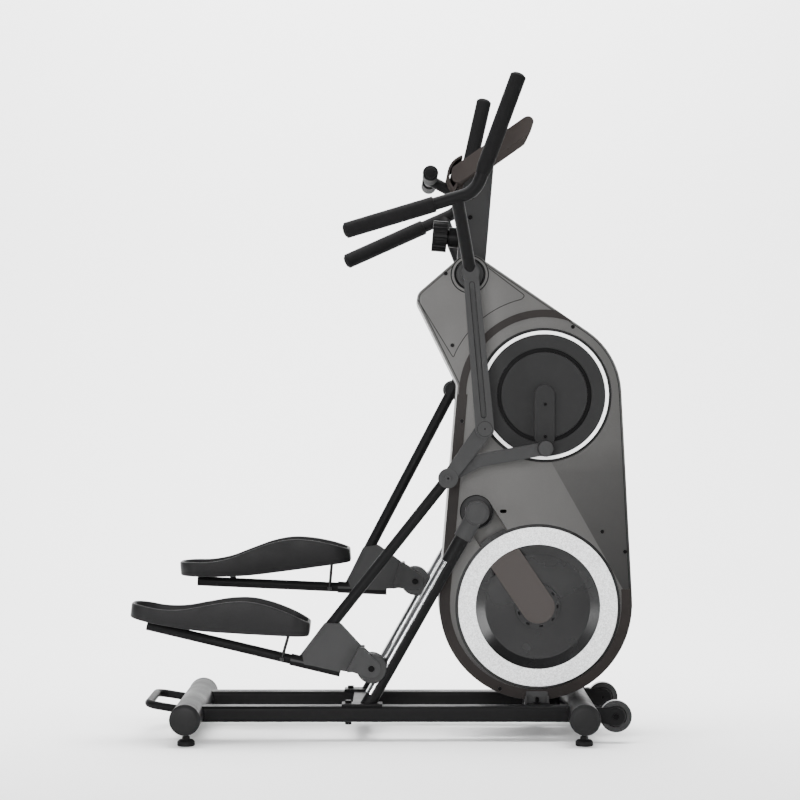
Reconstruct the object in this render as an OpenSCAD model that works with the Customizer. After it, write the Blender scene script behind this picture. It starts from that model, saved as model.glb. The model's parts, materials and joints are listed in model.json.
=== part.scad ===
// Tower elliptical trainer: a crank high in the housing drives two pedal arms whose rollers
// climb inclined rails, and each arm rocks a moving handle through a short link.
// Millimetres. +X is forwards (the way the user faces), +Y is the user's left, +Z is up.
// The origin is on the floor under the middle of the machine.

/* [Crank and pedal arms] */
// Height of the crank axle above the floor
axle_z = 872; // [860:1:890]
// Distance of the crank axle ahead of the origin
axle_x = 411; // [405:1:418]
// Radius of the crank, axle to pin
crank_r = 134.6; // [110:0.1:138]
// Pedal arm, crank pin to link pin
pin_to_link = 257.9; // [250:0.1:266]
// Pedal arm, link pin to roller axle
link_to_roller = 515.7; // [508:0.1:524]
// Pedal arm, crank pin to roller axle
pin_to_roller = 706.7; // [690:0.1:720]
// Diameter of the pedal arm's main tube
arm_tube_d = 28; // [24:0.5:30]
// Thickness of the pedal arm's gusset plates
gusset_t = 3.5; // [2.5:0.5:4]
// Height of the push rod's section
rod_h = 33; // [26:1:36]

/* [Levers and links] */
// Lever pivot, distance ahead of the origin
pivot_x = 221.2; // [218:0.1:224]
// Lever pivot, height above the floor
pivot_z = 1179.9; // [1172:0.1:1186]
// Lever, pivot to link pin
lever_len = 394.7; // [385:0.1:402]
// Link, pin to pin
link_len = 154.9; // [148:0.1:162]
// Thickness of the lever's lower bar
lever_t = 12; // [8:1:14]
// Thickness of the link
link_t = 8; // [6:0.5:9]
// Diameter of the lever's upper tube
lever_tube_d = 32; // [28:1:36]
// Diameter of the bare handle tube
handle_d = 31.8; // [28:0.1:33]
// Diameter of the foam grips
grip_d = 40; // [36:1:44]
// Distance of each moving grip from the middle plane
grip_y = 310; // [295:1:312]

/* [Rails and rollers] */
// Slope of the roller rails above the floor
rail_angle = 60.4; // [59:0.1:62]
// Distance of each rail from the middle plane
track_y = 160; // [156:1:164]
// Diameter of the rail tube
rail_d = 38; // [34:1:40]
// Rail length from the foot to the knuckle's middle
rail_len = 556.7; // [545:0.1:565]
// Outer diameter of the roller's flanges
roller_d = 75.4; // [70:0.2:80]
// Width of the roller
roller_w = 48; // [46:1:50]
// Thickness of the stainless running strip
strip_t = 1.5; // [1:0.1:2]
// Diameter of the roller's axle bolt
roller_bolt_d = 10; // [8:1:12]

/* [Base] */
// Length of the two cross stabilisers
stabiliser_len = 595; // [560:1:600]
// Diameter of the stabiliser tubes
stabiliser_d = 76; // [70:1:78]
// Height of the stabiliser axis above the floor
stabiliser_z = 68.5; // [66:0.5:72]
// Wall of the steel tubes
tube_wall = 2; // [1.5:0.1:3]
// Width of a base rail
base_rail_w = 60; // [50:1:62]
// Height of a base rail
base_rail_h = 40; // [34:1:42]
// Diameter of a levelling foot's pad
foot_d = 44; // [38:1:50]
// Diameter of a transport wheel
wheel_d = 80; // [72:1:82]

/* [Housing] */
// Half width of the housing
housing_y = 105; // [103:1:107]
// Wall of the housing shells
housing_wall = 3; // [2:0.5:4]
// Outer radius of the crank disc's white ring
crank_ring_r = 164; // [160:1:166]
// Outer radius of the silver wheel ring
wheel_ring_r = 203; // [198:1:205]
// Gap round each disc in the housing's side
disc_gap = 7.5; // [5:0.5:9]

/* [Drive] */
// Radius of the drive pulley on the crank axle
pulley_r = 130; // [120:1:134]
// Radius of the pulley on the flywheel's axle
small_pulley_r = 26; // [22:1:28]
// Radius of the flywheel
flywheel_r = 140; // [130:1:144]
// Thickness of the flywheel
flywheel_t = 28; // [20:1:32]
// Width of the drive belt
belt_w = 14; // [10:1:15]
// Thickness of the drive belt
belt_t = 3; // [2:0.5:4]

/* [Pedals and console] */
// Length of a pedal
pedal_len = 452; // [440:1:456]
// Width of a pedal
pedal_w = 160; // [140:1:170]
// Wall of a pedal's raised edge
pedal_wall = 7; // [5:1:10]
// Width of the console
console_w = 300; // [240:1:320]
// Slope of the console's face
console_angle = 35; // [30:1:40]
// Length of the fixed handlebar
bar_len = 420; // [380:1:460]

/* [Hidden] */
$fn = 48;
eps = 0.01;
run_gap = 0.05;       // radial clearance of a running fit
slip_gap = 0.4;       // clearance between parts that pass each other
bend_swell = 0.4;     // a bent tube swells a little in the bend
arc_step = 5;         // degrees between points on an outline's arcs

right = 0;
left = 1;
sides = [right, left];
steel = "#2b2b2c";
dark_grey = "#505050";
shell_grey = "#7a7977";
taupe = "#3a3534";
bright = "#d4d6d8";

// Layers outwards from the middle plane
disc_out = housing_y + 7;             // outer face of the crank disc
crank_out = track_y - 17;             // outer face of the crank pin's boss
link_in = track_y + 20.5;             // inner face of the link
lever_in = link_in + link_t + 1.5;    // inner face of the lever's lower bar
lever_out = lever_in + lever_t;

// Linkage points, [x, z]
crank_centre = [axle_x, axle_z];
pivot = [pivot_x, pivot_z];
rail_foot = [-37.3, 91.9];
rail_dir = [cos(rail_angle), sin(rail_angle)];
rail_up = [-sin(rail_angle), cos(rail_angle)];
knuckle = rail_foot + rail_len * rail_dir;
strip_out = rail_d / 2 + strip_t;
roller_gap = rail_d / 2 + 18.8;       // roller axle to rail axis
wheel_centre = [394.8, 332.8];

function crank_angle(side) = side == right ? -90 : 90;
function crank_pin(side) = crank_centre + crank_r * [cos(crank_angle(side)), sin(crank_angle(side))];
function rail_point(s) = rail_foot + s * rail_dir + roller_gap * rail_up;
function climb(pin) = let (d = pin - rail_point(0), along = d * rail_dir)
    along - sqrt(pow(pin_to_roller, 2) - d * d + along * along);
function roller_point(side) = rail_point(climb(crank_pin(side)));
// Where circles of radius rp round p and rq round q meet, on the left of p to q for hand 1
function meet(p, rp, q, rq, hand) = let (d = q - p, l = norm(d), a = (rp * rp - rq * rq + l * l) / (2 * l),
    h = hand * sqrt(rp * rp - a * a)) p + a * d / l + h * [-d.y, d.x] / l;
function link_pin(side) = meet(roller_point(side), link_to_roller, crank_pin(side), pin_to_link, 1);
function lever_pin(side) = meet(link_pin(side), link_len, pivot, lever_len, -1);
function slope(p, q) = atan2(q.y - p.y, q.x - p.x);
function arm_tilt(side) = slope(roller_point(side), crank_pin(side)) - slope(roller_point(right), crank_pin(right));
function lever_tilt(side) = slope(pivot, lever_pin(side)) - slope(pivot, lever_pin(right));

// An outline that wraps discs [x, z, r] anticlockwise; a negative r is a hollow corner
function wrap(a) = a - 360 * floor(a / 360);
function tangent(a, b) = slope(a, b) - acos((a.z - b.z) / norm([b.x - a.x, b.y - a.y]));
function outline(discs, inset = 0) = [for (i = [0:len(discs) - 1])
    let (last = discs[(i + len(discs) - 1) % len(discs)], disc = discs[i], next = discs[(i + 1) % len(discs)],
        from = tangent(last, disc), r = disc.z - inset,
        sweep = disc.z > 0 ? wrap(tangent(disc, next) - from + 0.001) : -wrap(from - tangent(disc, next)),
        steps = disc.z == 0 ? 1 : max(1, ceil(abs(sweep) / arc_step)))
    for (k = [0:disc.z == 0 ? 0 : steps])
        [disc.x + r * cos(from + sweep * k / steps), disc.y + r * sin(from + sweep * k / steps)]];
function disc(p, r) = [p.x, p.y, r];
function at(p, y) = [p.x, y, p.y];

// Draws a flat [x, z] shape as a plate from y = low to y = high
module plate(low, high) { translate([0, high, 0]) rotate([90, 0, 0]) linear_extrude(high - low) children(); }
module plate_of(discs, low, high) { plate(low, high) polygon(outline(discs)); }
// A cylinder along Y round the point p
module round_y(p, r, low, high) { translate([p.x, high, p.y]) rotate([90, 0, 0]) cylinder(h = high - low, r = r); }
module ring_y(p, r, bore, low, high) {
    difference() { round_y(p, r, low, high); round_y(p, bore, low - 1, high + 1); }
}
// Shapes drawn for the left side are mirrored for the right side
module on_side(side) { if (side == right) mirror([0, 1, 0]) children(); else children(); }
// Moves shapes drawn in the right arm's resting pose about the roller axle
module arm_frame(side) { on_side(side) translate(at(roller_point(side), 0)) rotate([0, -arm_tilt(side), 0]) children(); }
module lever_frame(side) { on_side(side) translate(at(pivot, 0)) rotate([0, -lever_tilt(side), 0]) children(); }

function unit(v) = v / norm(v);
function bend_angle(a, b, c) = acos(unit(b - a) * unit(c - b));
function bend_trim(a, b, c, r) = r * tan(bend_angle(a, b, c) / 2);
module tube_section(d, wall) { difference() { circle(d = d); if (wall > 0) circle(d = d - 2 * wall); } }
module tube(a, b, d, wall = 0) {
    reach = b - a;
    translate(a) rotate([0, acos(reach.z / norm(reach)), atan2(reach.y, reach.x)])
        linear_extrude(norm(reach)) tube_section(d, wall);
}
module tube_bend(a, b, c, r, d, wall) {
    u = unit(b - a);
    v = unit(c - b);
    w = unit(v - (u * v) * u);
    n = cross(u, w);
    centre = b - bend_trim(a, b, c, r) * u + r * w;
    multmatrix([[-w.x, u.x, n.x, centre.x], [-w.y, u.y, n.y, centre.y], [-w.z, u.z, n.z, centre.z], [0, 0, 0, 1]])
        rotate_extrude(angle = bend_angle(a, b, c)) translate([r, 0]) tube_section(d + bend_swell, wall);
}
// A round tube along points, with the same bend radius at each corner
module bent_tube(points, r, d, wall = 0) {
    last = len(points) - 1;
    lap = 0.5;
    trims = [for (i = [0:last]) i == 0 || i == last ? 0 : bend_trim(points[i - 1], points[i], points[i + 1], r) - lap];
    for (i = [0:last - 1]) {
        u = unit(points[i + 1] - points[i]);
        tube(points[i] + trims[i] * u, points[i + 1] - trims[i + 1] * u, d, wall);
    }
    for (i = [1:1:last - 1]) tube_bend(points[i - 1], points[i], points[i + 1], r, d, wall);
}

// ---- Base ----
rear_x = -488.6;
front_x = 501.4;
foot_y = stabiliser_len / 2 - 37.5;
foot_stem_r = 6;
foot_pad_h = 16;
cap_t = 6;
rail_half = base_rail_w / 2;
base_z = stabiliser_z - base_rail_h / 2;
base_top = stabiliser_z + base_rail_h / 2;
wheel_axle = [front_x + 83, 67];
wheel_y = 203;
wheel_w = 24;
bracket_t = 4;

// A cross stabiliser, with the holes for its two foot stems
module stabiliser(x) {
    difference() {
        round_y([x, stabiliser_z], stabiliser_d / 2, -stabiliser_len / 2, stabiliser_len / 2);
        round_y([x, stabiliser_z], stabiliser_d / 2 - tube_wall, -stabiliser_len, stabiliser_len);
        for (side = [-1, 1]) translate([x, side * foot_y, 0]) cylinder(h = stabiliser_z, r = foot_stem_r + run_gap);
    }
}
module rear_stabiliser() { color(steel) stabiliser(rear_x); }
module front_stabiliser() {
    color(steel) {
        stabiliser(front_x);
        for (side = sides, gap = [-1, 1]) on_side(side) wheel_bracket(gap);
    }
}
// One cheek of a transport wheel's fork
module wheel_bracket(gap) {
    face = wheel_y + gap * (wheel_w / 2 + 1);
    low = min(face, face + gap * bracket_t);
    difference() {
        plate_of([[front_x + 30, stabiliser_z - 6, 8], disc(wheel_axle, 22), [front_x + 26, stabiliser_z + 18, 4]], low, low + bracket_t);
        round_y([front_x, stabiliser_z], stabiliser_d / 2 - 1, low - 1, low + bracket_t + 1);
        round_y(wheel_axle, 4, low - 1, low + bracket_t + 1);
    }
}
module stabiliser_caps() {
    color(steel) for (x = [rear_x, front_x], side = sides) on_side(side) {
        round_y([x, stabiliser_z], stabiliser_d / 2 + 1, stabiliser_len / 2, stabiliser_len / 2 + cap_t);
        round_y([x, stabiliser_z], stabiliser_d / 2 - tube_wall, stabiliser_len / 2 - 15, stabiliser_len / 2);
    }
}
// A box section with round long edges, along X
module base_rail(side) {
    length = front_x - rear_x;
    color(steel) on_side(side) difference() {
        translate([rear_x, track_y, stabiliser_z]) rotate([90, 0, 90]) linear_extrude(length) difference() {
            rail_section(0);
            rail_section(tube_wall);
        }
        for (x = [rear_x, front_x]) round_y([x, stabiliser_z], stabiliser_d / 2, 0, stabiliser_len);
    }
}
module rail_section(inset) {
    corner = 10;
    w = rail_half - corner;
    h = base_rail_h / 2 - corner;
    polygon(outline([[w, -h, corner], [w, h, corner], [-w, h, corner], [-w, -h, corner]], inset));
}
module right_base_rail() { base_rail(right); }
module left_base_rail() { base_rail(left); }
module cross_members() {
    inner = track_y - rail_half;
    color(steel) for (span = [[axle_x - 46, 60], [rail_foot.x - 40, 40]])
        translate([span[0], -inner, base_z]) difference() {
            cube([span[1], 2 * inner, base_rail_h]);
            translate([tube_wall, -1, tube_wall]) cube([span[1] - 2 * tube_wall, 2 * inner + 2, base_rail_h - 2 * tube_wall]);
        }
}
module lifting_loop() {
    loop_d = 20;
    reach = rear_x - 108;
    color(steel) difference() {
        bent_tube([[rear_x, -130, 70], [reach, -130, 88], [reach, 130, 88], [rear_x, 130, 70]], 32, loop_d);
        round_y([rear_x, stabiliser_z], stabiliser_d / 2, -stabiliser_len / 2, stabiliser_len / 2);
    }
}
module transport_wheel(side) {
    color("#3c3c3c") on_side(side) difference() {
        round_y(wheel_axle, wheel_d / 2, wheel_y - wheel_w / 2, wheel_y + wheel_w / 2);
        round_y(wheel_axle, 4 + run_gap, 0, stabiliser_len);
        for (face = [wheel_y - wheel_w / 2 - 1, wheel_y + wheel_w / 2 - 3])
            ring_y(wheel_axle, 26, 12, face, face + 4);
    }
}
module right_transport_wheel() { transport_wheel(right); }
module left_transport_wheel() { transport_wheel(left); }
// A levelling foot: a pad on a threaded stem that turns in the stabiliser
module foot(x, side) {
    color("#1c1c1c") on_side(side) translate([x, foot_y, 0]) {
        rotate_extrude() polygon([[0, 0], [foot_d / 2 - 2, 0], [foot_d / 2, 2], [foot_d / 2, foot_pad_h - 5],
            [foot_d / 2 - 5, foot_pad_h], [0, foot_pad_h]]);
        cylinder(h = stabiliser_z, r = foot_stem_r);
        translate([0, 0, foot_pad_h]) cylinder(h = 8, r = foot_stem_r + 4, $fn = 6);
    }
}
module right_rear_foot() { foot(rear_x, right); }
module left_rear_foot() { foot(rear_x, left); }
module right_front_foot() { foot(front_x, right); }
module left_front_foot() { foot(front_x, left); }

// ---- Rails ----
foot_plate_t = 6;
knuckle_r = rail_d / 2 + 11;
sleeve_d = rail_d + 8;
sleeve_len = 58;
strip_start = 25;
strip_end = 410;
module along_rail(side, s = 0) {
    on_side(side) translate(at(rail_foot + s * rail_dir, track_y)) rotate([0, 90 - rail_angle, 0]) children();
}
module roller_rail(side) {
    color(steel) {
        difference() {
            along_rail(side, -30) tube([0, 0, 0], [0, 0, rail_len + 30 - knuckle_r], rail_d, tube_wall);
            on_side(side) translate([rail_foot.x - 100, track_y - 60, -100]) cube([200, 120, 100 + base_top + foot_plate_t]);
        }
        on_side(side) difference() {
            translate([rail_foot.x - 66, track_y - rail_half + 3, base_top]) cube([102, base_rail_w - 6, foot_plate_t]);
            translate([rail_foot.x - 50, track_y, 0]) cylinder(h = 200, r = 5.2);
        }
    }
}
module right_roller_rail() { roller_rail(right); }
module left_roller_rail() { roller_rail(left); }
// Half shells of stainless steel on the side where the rollers run
module rail_strips() {
    half_angle = 75;
    color(bright) for (side = sides) along_rail(side, strip_start) linear_extrude(strip_end - strip_start)
        polygon([for (k = [-half_angle:5:half_angle]) strip_out * [-cos(k), sin(k)],
            for (k = [half_angle:-5:-half_angle]) (rail_d / 2 + 0.05) * [-cos(k), sin(k)]]);
}
// The cross tube through the tower, and the T socket that holds each rail's top
module rail_knuckles() {
    color(dark_grey) {
        difference() {
            union() {
                round_y(knuckle, rail_d / 2, -track_y + 25, track_y - 25);
                for (side = sides) on_side(side) round_y(knuckle, knuckle_hole_r + 5, housing_y - 9, housing_y - 6);
                for (side = sides) {
                    on_side(side) round_y(knuckle, knuckle_r, track_y - 28, track_y + 27);
                    along_rail(side, rail_len - knuckle_r - sleeve_len + 12) cylinder(h = sleeve_len, d = sleeve_d);
                }
            }
            for (side = sides) along_rail(side, rail_len - knuckle_r - sleeve_len) cylinder(h = sleeve_len, d = rail_d);
        }
    }
}

// ---- Tower ----
post_in = 45;
post_w = 6;
post_out = post_in + post_w;
hub_out = housing_y - 13;             // outer end of the bearing tubes
post_x = axle_x - 16;
axle_r = 12.5;
bearing_r = 24;
bearing_w = 14;
shaft_r = 12.5;
wheel_axle_r = 10;
pin_r = 5;
idler_centre = [328.4, 560];
idler_r = 20;
brake_arm_r = flywheel_r + 12;
brake_pivot = wheel_centre + brake_arm_r * [cos(96), sin(96)];
module tower_frame() {
    post_deep = 25;
    color("#1f1f20") difference() {
        union() {
            for (side = sides) on_side(side) {
                plate_of([[post_x - post_deep + 2, base_top + 2, 2], [post_x + post_deep - 2, base_top + 2, 2],
                    [axle_x, axle_z + 20, 46], [pivot_x, pivot_z, 40], [axle_x - 45, axle_z - 30, 0],
                    [post_x - post_deep, axle_z - 170, 0]], post_in, post_out);
                for (p = [crank_centre, wheel_centre]) round_y(p, bearing_r + 6, post_in, hub_out);
                plate_of([disc(knuckle, rail_d / 2 + 8), [post_x, knuckle.y - 14, 12], [post_x, knuckle.y + 14, 12]], post_in, post_out);
            }
            round_y(pivot, 22, -hub_out, hub_out);
            round_y(idler_centre, pin_r, -post_out, post_out);
            round_y(brake_pivot, pin_r, -post_out, post_out);
            translate([post_x - 20, -post_out, base_top]) cube([40, 2 * post_out, 12]);
            translate([post_x - 20, -post_in - 1, knuckle.y + 30]) cube([40, 2 * post_in + 2, 12]);
        }
        round_y(crank_centre, bearing_r, -housing_y, housing_y);
        round_y(wheel_centre, bearing_r, -housing_y, housing_y);
        round_y(knuckle, rail_d / 2, -housing_y, housing_y);
        round_y(pivot, shaft_r, -housing_y, housing_y);
    }
}
module bearings() {
    color(bright) for (side = sides) on_side(side) {
        ring_y(crank_centre, bearing_r, axle_r + run_gap, hub_out - bearing_w, hub_out);
        ring_y(wheel_centre, bearing_r, wheel_axle_r + run_gap, hub_out - bearing_w, hub_out);
    }
}
module pivot_shaft() { color(bright) round_y(pivot, shaft_r, -lever_out + 3, lever_out - 3); }

// ---- Housing ----
trim_t = 1.5;
trim_w = 27;
pivot_ring_r = 46;
lever_hub_r = 34.6;
knuckle_hole_r = 41;
housing_discs = [[389.4, 341, 246], disc(crank_centre, 197), disc(pivot, 50), [116.4, 1116, 30], [165, 893, -25]];
screw_places = [[160, 1182], [177, 999], [484, 1046], [201, 806], [559, 524], [617, 473], [298, 124]];
screw_r = 5;
mast_discs = [[194, 1207, 4], [259.4, 1207, 4], [281.5, 1466, 4], [211, 1416.5, 4]];
mast_y = 32;
module housing_openings() {
    round_y(crank_centre, crank_ring_r + disc_gap, housing_y - 20, housing_y + 20);
    round_y(wheel_centre, wheel_ring_r + disc_gap, housing_y - 20, housing_y + 20);
    round_y(knuckle, knuckle_hole_r, housing_y - 20, housing_y + 20);
    round_y(pivot, lever_hub_r + 2.4, housing_y - 20, housing_y + 20);
    plate(-mast_y - 2, mast_y + 2) polygon(outline(mast_discs, -2));
    translate([post_x - 30, -1, 80]) cube([60, post_out + 3, 40]);
}
module housing(side) {
    color(shell_grey) on_side(side) difference() {
        union() {
            plate(0, housing_y) polygon(outline(housing_discs));
            round_y(pivot, pivot_ring_r, housing_y - 1, housing_y + 6);
        }
        plate(-1, housing_y - housing_wall) polygon(outline(housing_discs, housing_wall));
        housing_openings();
    }
}
module right_housing() { housing(right); }
module left_housing() { housing(left); }
// Dark bands that follow the rear edge and sweep over the crank disc
module trim_bands() {
    far = 1000;
    crescent = crank_ring_r + 35;
    color(taupe) for (side = sides) on_side(side) difference() {
        intersection() {
            plate(housing_y, housing_y + trim_t) polygon(outline(housing_discs, 1));
            union() {
                difference() {
                    plate(housing_y, housing_y + trim_t) polygon(outline(housing_discs, 0.5));
                    plate(0, far) polygon(outline(housing_discs, trim_w));
                    translate([wheel_centre.x, 0, wheel_centre.y + 45]) cube(far);
                    translate([-far / 2, 0, axle_z + 2]) cube(far);
                }
                difference() {
                    ring_y(crank_centre, crescent + 19, crescent, housing_y, housing_y + trim_t);
                    translate([0, 0, axle_z - far]) cube(far);
                    translate([axle_x + 70, 0, 0]) cube(2 * far);
                }
            }
        }
        for (p = screw_places) round_y(p, screw_r + 0.5, 0, far);
    }
}
foot_bolt = [rail_foot.x - 50, track_y];
mast_bolts = [[224.4, 1330], [228.4, 1382]];
// Housing screws, rail bolts and their nuts, mast bolts and wheel axles
module fasteners() {
    color("#1a1a1a") {
        for (side = sides) on_side(side) {
            for (p = screw_places) round_y(p, screw_r, housing_y, housing_y + 1.8);
            translate([foot_bolt.x, foot_bolt.y, 0]) {
                translate([0, 0, base_top + foot_plate_t]) cylinder(h = 7, r = 8.5, $fn = 6);
                translate([0, 0, base_z - 8]) cylinder(h = 8, r = 8.5, $fn = 6);
            }
            for (p = mast_bolts) round_y(p, 6, mast_y, mast_y + 3.5);
            round_y(wheel_axle, 4, wheel_y - wheel_w / 2 - 6, wheel_y + wheel_w / 2 + 6);
            round_y(wheel_axle, 7.5, wheel_y + wheel_w / 2 + 1 + bracket_t, wheel_y + wheel_w / 2 + 5 + bracket_t);
        }
    }
}
module mast() {
    color("#3b3b3c") {
        difference() {
            plate(-mast_y, mast_y) polygon(outline(mast_discs));
            plate(-mast_y + 2.5, mast_y - 2.5) polygon(outline(mast_discs, 2.5));
        }
        for (side = sides) on_side(side) translate([200, mast_y, 1203]) cube([48, post_in - mast_y, 12]);
    }
}

// ---- Fixed handlebar, knob and console ----
bar_place = [120.2, 1429.4];
stem_end = [206.5, 1383];
stem_d = 28;
module handlebar() {
    color("#1d1d1e") {
        tube([bar_place.x, -bar_len / 2 + 3, bar_place.y], [bar_place.x, bar_len / 2 - 3, bar_place.y], stem_d);
        difference() {
            tube([bar_place.x, 0, bar_place.y], at(stem_end, 0), stem_d);
            plate(-mast_y, mast_y) polygon(outline(mast_discs));
        }
    }
}
module handlebar_grips() {
    color("#121212") for (side = sides) on_side(side) {
        ring_y(bar_place, 19, 14, 55, bar_len / 2 - 3);
        round_y(bar_place, 19, bar_len / 2 - 3, bar_len / 2);
    }
}
knob_place = [127.4, 1285];
knob_tilt = 5;
module clamp_knob() {
    flutes = 14;
    color("#161616") translate(at(knob_place, 0)) rotate([0, 90 + knob_tilt, 0]) {
        difference() {
            cylinder(h = 38, r = 40);
            for (k = [0:flutes - 1]) rotate([0, 0, k * 360 / flutes]) translate([43.5, 0, -1]) cylinder(h = 40, r = 6);
        }
        cylinder(h = 42, r = 20);
        translate([0, 0, 42]) cylinder(h = 26, r = 26);
    }
}
console_place = [185.8, 1404];
console_wall = 3;
console_top = 42;
console_discs = [[16, 16, 16], [226, 13, 12], [241, 27, 14], [239, 37, 5], [22, 30, 12]];
button_place = [195, -50];
rocker_place = [195, 45];
button_r = 9;
rocker_size = [20, 44];
module console_frame() { translate(at(console_place, 0)) rotate([0, -console_angle, 0]) children(); }
module console_tray() {
    color("#4a4542") console_frame() difference() {
        plate_of(console_discs, -console_w / 2, console_w / 2);
        plate(-console_w / 2 + console_wall, console_w / 2 - console_wall) polygon(outline(console_discs, console_wall));
        translate([button_place.x, button_place.y, 20]) cylinder(h = 60, r = button_r + slip_gap);
        translate([rocker_place.x, rocker_place.y, 50]) cube([rocker_size.x + 2, rocker_size.y + 2, 60], center = true);
    }
}
// A curved lip that holds a tablet against the console's face
module tablet_ledge() {
    lip = [40, 3];
    lip_r = 54;
    lip_t = 6;
    half = console_w / 2 - 15;
    color("#5f5955") difference() {
        console_frame() {
            plate(-half, half) polygon([for (k = [72:4:192]) lip + lip_r * [cos(k), sin(k)],
                for (k = [192:-4:72]) lip + (lip_r - lip_t) * [cos(k), sin(k)]]);
            plate_of([[-10.2, -5, 3], [2.6, 2.1, 3]], -half, half);
        }
        tube([bar_place.x, 0, bar_place.y], at(stem_end, 0), stem_d + 2);
    }
}
module display_window() { color("#0c0d0f") console_frame() translate([92, -95, console_top]) cube([80, 190, 1.5]); }
module start_button() {
    color("#8a8582") console_frame() translate([button_place.x, button_place.y, 0]) {
        translate([0, 0, console_top - console_wall - 4.5]) cylinder(h = 9.5 + console_wall - 0.5, r = button_r);
        translate([0, 0, console_top - console_wall - 5]) cylinder(h = 3, r = button_r + 2.5);
    }
}
module adjust_rocker() {
    half = rocker_size.y / 2;
    color("#8a8582") console_frame() translate([rocker_place.x, rocker_place.y, console_top]) {
        rotate([90, 0, 90]) linear_extrude(rocker_size.x, center = true)
            polygon([[-half, -5], [half, -5], [half, 4], [half - 8, 3.2], [8 - half, 3.2], [-half, 4]]);
        rotate([0, 90, 0]) cylinder(h = rocker_size.x + 1.6, r = 2, center = true);
    }
}

// ---- Crank ----
disc_in = housing_y - 7;
groove_r = 120;
ring_w = 8.5;
crank_arm_r = 26.5;
module crank_axle() { color(bright) round_y(crank_centre, axle_r, -disc_out, disc_out); }
module drive_pulley() {
    color("#26272a") {
        ring_y(crank_centre, pulley_r, pulley_r - 12, belt_y - belt_w / 2 - 1, belt_y + belt_w / 2 + 1);
        ring_y(crank_centre, pulley_r - 12, axle_r, belt_y - 2, belt_y + 2);
        ring_y(crank_centre, 30, axle_r, belt_y - 10, belt_y + 10);
    }
}
module crank_discs() {
    color("#3e3e3e") for (side = sides) on_side(side) difference() {
        union() {
            round_y(crank_centre, crank_ring_r - ring_w, disc_in, disc_out);
            round_y(crank_centre, crank_ring_r + disc_gap + 5, disc_in - 3, disc_in);
        }
        round_y(crank_centre, axle_r, 0, disc_out + 1);
        ring_y(crank_centre, groove_r, groove_r - 10, disc_out - 3, disc_out + 1);
    }
}
module crank_rings() {
    color("white") for (side = sides) on_side(side)
        ring_y(crank_centre, crank_ring_r, crank_ring_r - ring_w, disc_in, disc_out + 0.5);
}
module crank_arms() {
    cover = 0.78;
    color("#3a3a3b") for (side = sides) on_side(side) {
        plate_of([disc(crank_centre, crank_arm_r),
            disc(crank_centre + cover * (crank_pin(side) - crank_centre), crank_arm_r)], disc_out, disc_out + 14);
        round_y(crank_pin(side), 18, disc_out, crank_out);
    }
}

// ---- Flywheel, belt and brake ----
belt_y = 30;
belt_slip = 0.3;
belt_discs = [disc(wheel_centre, small_pulley_r + belt_slip + belt_t), disc(crank_centre, pulley_r + belt_slip + belt_t),
    [idler_centre.x, idler_centre.y, -idler_r - belt_slip]];
hub_bar_angle = 124.2;
hub_bar_r = 43;
dish_r = 158.5;
wheel_in = housing_y - 9;
module flywheel() {
    color("#6d6f72") {
        round_y(wheel_centre, flywheel_r, -flywheel_t / 2, flywheel_t / 2);
        round_y(wheel_centre, wheel_axle_r, -wheel_in - 8, wheel_in + 8);
        round_y(wheel_centre, small_pulley_r, flywheel_t / 2, belt_y + belt_w / 2 + 1);
    }
}
module wheel_discs() {
    color("#2c2d2e") for (side = sides) on_side(side) translate(at(wheel_centre, wheel_in)) rotate([-90, 0, 0])
        rotate_extrude() polygon([[wheel_axle_r, -3], [wheel_ring_r + disc_gap + 5, -3], [wheel_ring_r + disc_gap + 5, 0],
            [wheel_ring_r, 0], [wheel_ring_r, 10], [dish_r, 10], [134, 3], [54.5, 3], [54.5, 8], [wheel_axle_r, 8]]);
}
module silver_rings() {
    color(bright) for (side = sides) on_side(side)
        ring_y(wheel_centre, wheel_ring_r, dish_r, wheel_in + 10, wheel_in + 12.5);
}
module hub_bars() {
    tip = wheel_centre + wheel_ring_r * [cos(hub_bar_angle), sin(hub_bar_angle)];
    color("#6b625e") for (side = sides) on_side(side) {
        intersection() {
            plate_of([disc(wheel_centre, hub_bar_r), disc(tip, hub_bar_r)], wheel_in + 10, wheel_in + 12);
            round_y(wheel_centre, dish_r - 1, 0, stabiliser_len);
        }
        round_y(wheel_centre, hub_bar_r - 3, wheel_in + 8, wheel_in + 10.5);
    }
}
module drive_belt() {
    color("#0f0f10") plate(belt_y - belt_w / 2, belt_y + belt_w / 2) difference() {
        polygon(outline(belt_discs));
        polygon(outline(belt_discs, belt_t));
    }
}
module idler() {
    color("#8f9193") ring_y(idler_centre, idler_r, pin_r + run_gap, belt_y - belt_w / 2 - 1, belt_y + belt_w / 2 + 1);
}
// A curved arm of magnets that swings towards the flywheel's rim
module magnet_bracket() {
    low = brake_arm_r - 6;
    high = brake_arm_r + 6;
    color("#a5a7a9") difference() {
        union() {
            plate(-18, 18) polygon([for (k = [96:4:192]) wheel_centre + high * [cos(k), sin(k)],
                for (k = [192:-4:96]) wheel_centre + low * [cos(k), sin(k)]]);
            round_y(brake_pivot, 9, -18, 18);
        }
        round_y(brake_pivot, pin_r + run_gap, -20, 20);
        round_y(wheel_centre, flywheel_r + 4, -20, 20);
    }
}
module brake_motor() {
    color("#303234") {
        translate([post_x - 22, -post_in, 640]) cube([44, 30, 50]);
        translate([post_x, -post_in + 30, 665]) rotate([-90, 0, 0]) cylinder(h = 8, r = 9);
    }
}

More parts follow.
